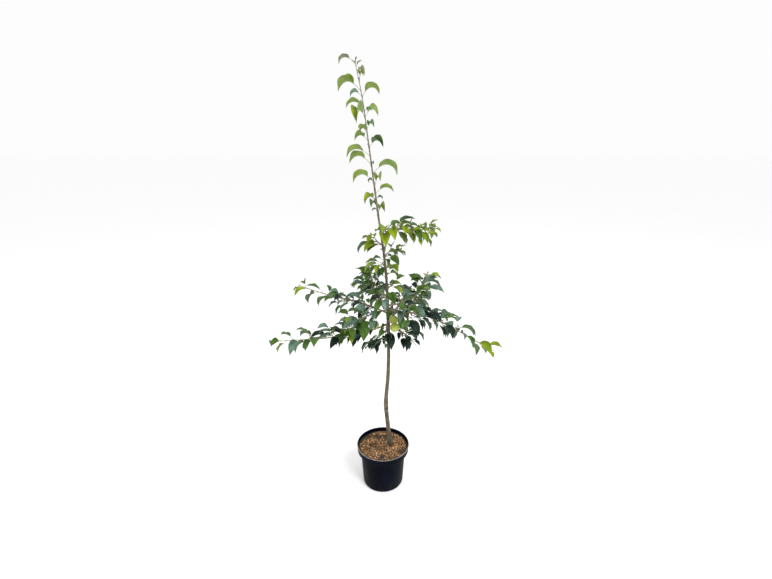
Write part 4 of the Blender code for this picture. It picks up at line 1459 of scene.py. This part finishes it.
def make_trunk(leader):
    """One piece of wood from the soil to the tip, with the bark's relief."""
    foot = TRUNK_LINE[0][0]
    top = TRUNK_LINE[-1][0]
    nodes = nodes_on(leader, TRUNK_TOP) + [limb.height for limb in LIMBS]
    shares = np.linspace(0.0, 1.0, TRUNK_RINGS) ** TRUNK_RING_POWER
    rings = []
    for height in [foot - TRUNK_SINK, *(foot + (top - foot) * shares)]:
        centre = trunk_centre(max(height, foot))
        centre[2] = height
        lobes = LOBE_DEPTH * math.exp(-max(height - foot, 0.0) / FLARE_HEIGHT)
        swell = node_swelling(height, nodes) if height > LOWEST_NODE else 1.0
        ring = []
        for turn in turns_round(TRUNK_SIDES):
            radius = trunk_radius(height) * (1 + lobes * math.cos(FLARE_LOBES * turn)) * swell
            spoke = np.array([math.cos(turn), math.sin(turn), 0.0])
            radius += bark_relief(centre + radius * spoke) * min(1.0, radius / FULL_RELIEF_RADIUS)
            ring.append(centre + radius * spoke)
        rings.append(ring)
    skin = Skin()
    add_rings(skin, rings)
    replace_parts(skin.make("trunk_bark", "bark", bark_material()), "trunk")


def make_limbs(masses):
    """Each limb in one piece from the trunk to its tip, thicker at its nodes."""
    skin = Skin()

    def relief(place):
        return LIMB_RELIEF_SHARE * bark_relief(place)

    for limb, mass in masses:
        if limb is LEADER:
            continue
        whole = Shoot(limb_line(limb), limb.foot_radius, TWIG_TIP_RADIUS)
        nodes = nodes_on(mass, whole.length - mass.stem.length)
        marks = ring_marks(whole, LIMB_RING_STEP, 8)
        collars = [1.0 + COLLAR_SWELL * math.exp(-mark / COLLAR_LENGTH) for mark in marks]
        radii = [c * whole.radius(mark) * node_swelling(mark, nodes) for c, mark in zip(collars, marks)]
        add_stem(skin, whole, marks, radii, LIMB_SIDES, relief)
    piece = skin.make("limb_bark", "young_bark", limb_material())
    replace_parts(piece, *["bough_" + limb.name for limb, _ in masses if limb.bare > 0.0])


def fruit_radius(turn, rise):
    """Distance from a fruit's centre to its skin: round, dented at stalk and eye."""
    from_top = 0.5 * math.pi - rise
    radius = 1.0 + FRUIT_LOBES[1] * math.sin(FRUIT_LOBES[0] * turn) * math.cos(rise)
    for (depth, width), angle in ((STALK_DENT, from_top), (EYE_DENT, math.pi - from_top)):
        radius -= depth * math.exp(-((angle / width) ** 2))
    return FRUIT_RADIUS * radius


def add_fruit(skin, centre):
    """Skin of one fruit: rings from the eye up, then a point at the eye and at the stalk."""
    points = []
    uvs = []
    for row in range(1, FRUIT_ROWS):
        rise = math.pi * (row / FRUIT_ROWS - 0.5)
        for side, turn in enumerate(turns_round(FRUIT_SIDES)):
            aim = direction(math.degrees(turn), math.degrees(rise))
            points.append(centre + fruit_radius(turn, rise) * aim)
            uvs.append((side / FRUIT_SIDES, row / FRUIT_ROWS))
    eye = len(points)
    top_ring = eye - FRUIT_SIDES
    for end in (-1.0, 1.0):
        points.append(centre + fruit_radius(0.0, end * math.pi / 2) * np.array([0.0, 0.0, end]))
        uvs.append((0.5, 0.5 + 0.5 * end))
    faces = tube_faces(FRUIT_ROWS - 1, FRUIT_SIDES)[:-2]
    for side in range(FRUIT_SIDES):
        after = (side + 1) % FRUIT_SIDES
        faces += [(after, side, eye), (top_ring + side, top_ring + after, eye + 1)]
    skin.add(points, faces, uvs)


def make_fruits(masses):
    """Round fruits with their stalks and dried sepals."""
    skins = Skin()
    stalks = Skin()
    sepals = Skin()
    foot_swell, top_swell = STALK_END_SWELLS
    for _, mass in masses:
        for stalk, centre in mass.fruits:
            add_fruit(skins, centre)
            marks = np.linspace(0.0, stalk.length, 16)
            radii = []
            for mark in marks:
                swell = 1.0 + foot_swell * math.exp(-mark / STALK_END_LENGTH)
                swell += top_swell * math.exp(-(stalk.length - mark) / STALK_END_LENGTH)
                radii.append(stalk.radius(mark) * swell)
            add_stem(stalks, stalk, marks, radii, TWIG_SIDES)
            eye = centre - EYE_SHARE * FRUIT_RADIUS * UP
            for index in range(SEPALS):
                aim = direction(360 / SEPALS * index, SEPAL_RISE)
                line = [eye + aim * SEPAL_LENGTH * share for share, _ in SEPAL_SHAPE]
                add_tube(sepals, line, [radius for _, radius in SEPAL_SHAPE], 5)
    names = ["foliage_" + limb.name for limb, mass in masses if mass.fruits]
    stalk = stalk_material("fruit_stalk", FRUIT_STALK, 0.55)
    sepal = stalk_material("dried_sepal", DRIED_SEPAL, 0.80)
    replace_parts(skins.make("fruits", "foliage", fruit_material()), *names)
    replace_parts(stalks.make("fruit_stems", "foliage", stalk), *names)
    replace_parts(sepals.make("fruit_sepals", "foliage", sepal), *names)


# Pot

def ring_place(radius, turn, height):
    return Vector((radius * math.cos(turn), radius * math.sin(turn), height))


def revolved(name, profile, sides, lift=None):
    """Closed body of revolution about +Z, with an optional lift of each point."""
    shape = bmesh.new()
    rows = []
    for radius, height in profile:
        places = [ring_place(radius, turn, height) for turn in (turns_round(sides) if radius else [0.0])]
        for place in places:
            place.z += lift(place) if lift else 0.0
        rows.append([shape.verts.new(place) for place in places])
    for lower, upper in zip(rows, rows[1:]):
        for side in range(sides):
            after = (side + 1) % sides
            corners = [lower[side % len(lower)], lower[after % len(lower)]]
            corners += [upper[after % len(upper)], upper[side % len(upper)]]
            shape.faces.new(list(dict.fromkeys(corners)))
    bmesh.ops.recalc_face_normals(shape, faces=shape.faces)
    return add_object(name, shape_mesh(shape, name))


def quarter(radius, height, reach, start, steps=5):
    """Points of a quarter round about (radius, height), from an angle in degrees."""
    turns = [math.radians(start + 90.0 * step / steps) for step in range(steps + 1)]
    return [(radius + reach * math.cos(turn), height + reach * math.sin(turn)) for turn in turns]


def pot_profile():
    """Outline from the middle of the underside, up the wall, over the rim and back."""
    band_low = POT_HEIGHT - BAND_HEIGHT
    wall_top = band_low - WALL_TOP_DROP
    corner = WALL_LOW_RADIUS - UNDERSIDE_RADIUS
    lip = RIM_ROUND
    outside = [(0.0, 0.0), (UNDERSIDE_RADIUS - 2 * CORNER_HEIGHT, 0.0)]
    outside += quarter(UNDERSIDE_RADIUS, corner, corner, -90.0)
    for share in np.linspace(0.1, 1.0, 10):
        radius = WALL_LOW_RADIUS + (WALL_TOP_RADIUS - WALL_LOW_RADIUS) * share
        outside.append((radius, corner + (wall_top - corner) * share))
    outside += [(WALL_TOP_RADIUS + out, band_low - drop) for out, drop in SHOULDER]
    outside.append((BAND_LOW_RADIUS - BAND_EDGE, band_low))
    outside.append((BAND_LOW_RADIUS, band_low + BAND_EDGE))
    outside.append((RIM_RADIUS - RIM_BEAD_REACH, POT_HEIGHT - RIM_BEAD_HEIGHT - RIM_BEAD_REACH))
    outside.append((RIM_RADIUS, POT_HEIGHT - RIM_BEAD_HEIGHT))
    outside += quarter(RIM_RADIUS - lip, POT_HEIGHT - lip, lip, 0.0)
    inner_rim = RIM_RADIUS - POT_THICKNESS
    inside = quarter(inner_rim, POT_HEIGHT - lip, lip, 90.0)
    inside.append((inner_rim - lip, POT_HEIGHT - 0.004))
    inside.append((BAND_LOW_RADIUS - POT_THICKNESS, band_low + 2 * POT_THICKNESS))
    inside.append((WALL_TOP_RADIUS - POT_THICKNESS, wall_top))
    inside.append((WALL_LOW_RADIUS - POT_THICKNESS, CORNER_HEIGHT))
    inside.append((UNDERSIDE_RADIUS, POT_THICKNESS))
    inside.append((0.0, POT_THICKNESS))
    return outside + inside


def make_pot():
    """Moulded pot with its drain holes cut through the floor."""
    pot = revolved("pot_shell", pot_profile(), POT_SIDES)
    drills = bmesh.new()
    for index in range(DRAIN_HOLES):
        made = bmesh.ops.create_cone(
            drills,
            cap_ends=True,
            segments=24,
            radius1=DRAIN_HOLE_RADIUS,
            radius2=DRAIN_HOLE_RADIUS,
            depth=4 * POT_THICKNESS,
        )
        place = ring_place(DRAIN_RING_RADIUS, 2 * math.pi * (index + 0.5) / DRAIN_HOLES, 0.0)
        bmesh.ops.translate(drills, vec=place, verts=made["verts"])
    cutter = add_object("drills", shape_mesh(drills, "drills"))
    cut = pot.modifiers.new("Drain", "BOOLEAN")
    cut.operation = "DIFFERENCE"
    cut.solver = "EXACT"
    cut.object = cutter
    freeze(pot)
    bpy.data.objects.remove(cutter)
    pot.data.materials.append(pot_material())
    soften(pot.data, POT_SHARP_ANGLE)
    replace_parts(place_piece(pot), "pot")


def freeze(item):
    """Turn what the modifiers make into the item's plain mesh."""
    graph = bpy.context.evaluated_depsgraph_get()
    mesh = bpy.data.meshes.new_from_object(item.evaluated_get(graph))
    item.modifiers.clear()
    item.data = mesh


# Mulch

def bed_lift(place):
    """Unevenness of the mulch bed, none at its edge."""
    if place.z < SOIL_HEIGHT - 2 * SOIL_EDGE_DROP:
        return 0.0
    level = math.hypot(place.x, place.y)
    fade = max(0.0, min(1.0, (SOIL_RADIUS - SOIL_EVEN_EDGE - level) / SOIL_FADE))
    bumps = -SOIL_SINK
    for scale, height, start in SOIL_BUMPS:
        bumps += height * noise.noise(Vector((place.x * scale, place.y * scale, start)))
    return SOIL_RELIEF * fade * bumps


def bed_top(radius):
    """Height of the bed at a distance from the pot's axis."""
    share = max(0.0, (radius - SOIL_LEVEL_RADIUS) / (SOIL_RADIUS - SOIL_LEVEL_RADIUS))
    return SOIL_HEIGHT + CHIP_LAYER - SOIL_EDGE_DROP * share


def make_bed():
    """Compost that fills the pot, under the chips."""
    gap = 2 * FIT_GAP
    wall_top = POT_HEIGHT - BAND_HEIGHT - WALL_TOP_DROP
    profile = [(0.0, SOIL_LOW), (UNDERSIDE_RADIUS - gap, SOIL_LOW)]
    profile.append((WALL_LOW_RADIUS - POT_THICKNESS - gap, CORNER_HEIGHT))
    profile.append((WALL_TOP_RADIUS - POT_THICKNESS - gap, wall_top))
    profile += [(radius, bed_top(radius)) for radius in np.linspace(SOIL_RADIUS, 0.0, 31)]
    bed = revolved("soil_bed", profile, BED_SIDES, bed_lift)
    bed.data.materials.append(mulch_material("compost", COMPOST))
    soften(bed.data, BED_SHARP_ANGLE)
    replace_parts(place_piece(bed), "soil")


def chip_shapes(kind, draw):
    """A few irregular flakes, a unit long, to be scattered."""
    group = bpy.data.collections.new("chips_" + kind)
    for index in range(CHIP_SHAPES):
        shape = bmesh.new()
        bmesh.ops.create_icosphere(shape, subdivisions=1, radius=1.0)
        wide = draw.uniform(*CHIP_WIDTHS)
        thick = draw.uniform(*CHIP_THICKNESSES)
        for vertex in shape.verts:
            push = draw.uniform(*CHIP_PUSHES)
            vertex.co = Vector((vertex.co.x * push, vertex.co.y * wide * push, vertex.co.z * thick * push))
        group.objects.link(bpy.data.objects.new(f"chip_{kind}_{index}", shape_mesh(shape, "chip")))
    return group


def scatter_tree():
    """Geometry Nodes: chips of random size and turn over a surface, realized."""
    tree = bpy.data.node_groups.new("Scatter Chips", "GeometryNodeTree")
    kinds = {"Surface": "Geometry", "Density": "Float", "Smallest": "Float", "Largest": "Float"}
    kinds.update({"Seed": "Int", "Chips": "Collection", "Material": "Material"})
    for label, kind in kinds.items():
        tree.interface.new_socket(label, in_out="INPUT", socket_type="NodeSocket" + kind)
    tree.interface.new_socket("Mesh", in_out="OUTPUT", socket_type="NodeSocketGeometry")
    given = tree.nodes.new("NodeGroupInput").outputs
    points = add_node(
        tree,
        "GeometryNodeDistributePointsOnFaces",
        {"Mesh": given["Surface"], "Density": given["Density"], "Seed": given["Seed"]},
    )
    least = (-CHIP_TILT, -CHIP_TILT, 0.0)
    most = (CHIP_TILT, CHIP_TILT, 2 * math.pi)
    tilts = {0: least, 1: most, "Seed": given["Seed"]}
    turns = add_node(tree, "FunctionNodeRandomValue", tilts, data_type="FLOAT_VECTOR")
    ends = {2: given["Smallest"], 3: given["Largest"], "Seed": given["Seed"]}
    sizes = add_node(tree, "FunctionNodeRandomValue", ends, data_type="FLOAT")
    shapes = add_node(
        tree,
        "GeometryNodeCollectionInfo",
        {"Collection": given["Chips"], "Separate Children": True, "Reset Children": True},
    )
    copies = add_node(
        tree,
        "GeometryNodeInstanceOnPoints",
        {
            "Points": points.outputs["Points"],
            "Instance": shapes.outputs["Instances"],
            "Pick Instance": True,
            "Rotation": turns.outputs[0],
            "Scale": sizes.outputs[1],
        },
    )
    real = add_node(tree, "GeometryNodeRealizeInstances", {"Geometry": copies.outputs["Instances"]})
    paint = {"Geometry": real.outputs["Geometry"], "Material": given["Material"]}
    painted = add_node(tree, "GeometryNodeSetMaterial", paint)
    add_node(tree, "NodeGroupOutput", {"Mesh": painted.outputs["Geometry"]})
    return tree


def chip_field():
    """Disc just over the bed that the chips are scattered on, clear of the wall."""
    shape = bmesh.new()
    rings = []
    for radius in np.linspace(FIELD_HOLE, SOIL_RADIUS - FIELD_EDGE, FIELD_RINGS):
        places = [ring_place(radius, turn, bed_top(radius)) for turn in turns_round(FIELD_SIDES)]
        for place in places:
            place.z += bed_lift(place) + FIELD_LIFT
        rings.append([shape.verts.new(place) for place in places])
    for inner, outer in zip(rings, rings[1:]):
        for side in range(FIELD_SIDES):
            after = (side + 1) % FIELD_SIDES
            shape.faces.new((inner[side], outer[side], outer[after], inner[after]))
    shape.faces.new(rings[0])
    bmesh.ops.recalc_face_normals(shape, faces=shape.faces)
    return shape_mesh(shape, "chip_field")


def make_chips():
    """Bark chips of several colours over the bed, each colour one piece."""
    tree = scatter_tree()
    sockets = {item.name: item.identifier for item in tree.interface.items_tree if item.in_out == "INPUT"}
    field = chip_field()
    for seed, (kind, (density, smallest, largest)) in enumerate(CHIP_KINDS.items(), 1):
        item = add_object("chips_" + kind, field.copy())
        shapes = chip_shapes(kind, random.Random(seed))
        bark = mulch_material("bark_chip_" + kind, CHIP_COLOURS[kind])
        values = {"Density": float(density), "Smallest": smallest, "Largest": largest, "Seed": seed}
        values.update({"Chips": shapes, "Material": bark})
        spread = item.modifiers.new("Scatter", "NODES")
        spread.node_group = tree
        for label, value in values.items():
            spread[sockets[label]] = value
        freeze(item)
        for chip in list(shapes.objects):
            bpy.data.objects.remove(chip)
        bpy.data.collections.remove(shapes)
        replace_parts(place_piece(item), "soil")


# Studio

def make_floor():
    """Plain pale floor, which isn't part of the object."""
    mesh = bpy.data.meshes.new("floor")
    corners = [(x * FLOOR_HALF, y * FLOOR_HALF, 0) for x, y in ((-1, -1), (1, -1), (1, 1), (-1, 1))]
    mesh.from_pydata(corners, [], [(0, 1, 2, 3)])
    material, tree, surface, spot, _ = new_material("pale_floor", 0.85)
    colour, _ = mottle(tree, spot, 1.5, 60.0, *PALE_FLOOR)
    tree.links.new(colour, surface["Base Color"])
    mesh.materials.append(material)
    add_object("floor", mesh)


def make_studio():
    """White surroundings and two soft square lights."""
    world = bpy.data.worlds.new("studio")
    world.use_nodes = True
    background = world.node_tree.nodes["Background"].inputs
    background["Color"].default_value = (1.0, 1.0, 1.0, 1.0)
    background["Strength"].default_value = WORLD_STRENGTH
    bpy.context.scene.world = world
    bpy.context.scene.view_settings.view_transform = "Standard"
    for name, (place, size, power) in LIGHTS.items():
        light = bpy.data.lights.new(name, "AREA")
        light.size = size
        light.energy = power
        item = add_object(name, light)
        item.location = place
        item.rotation_euler = (Vector(LIGHT_TARGET) - Vector(place)).to_track_quat("-Z", "Y").to_euler()


def make_camera():
    """Camera fitted to the pot's ellipses in the photograph."""
    data = bpy.data.cameras.new("camera")
    data.sensor_width = SENSOR_WIDTH
    data.lens = FOCAL_PIXELS / PHOTO_PIXELS * SENSOR_WIDTH
    camera = add_object("camera", data)
    camera.location = CAMERA_PLACE
    camera.rotation_euler = (math.radians(90.0 - CAMERA_DOWN_TILT), 0.0, 0.0)
    bpy.context.scene.camera = camera


MASSES = grow_crown()
make_foliage(MASSES)
make_trunk(MASSES[-1][1])
make_limbs(MASSES)
make_fruits(MASSES)
make_pot()
make_bed()
make_chips()
make_floor()
make_studio()
make_camera()
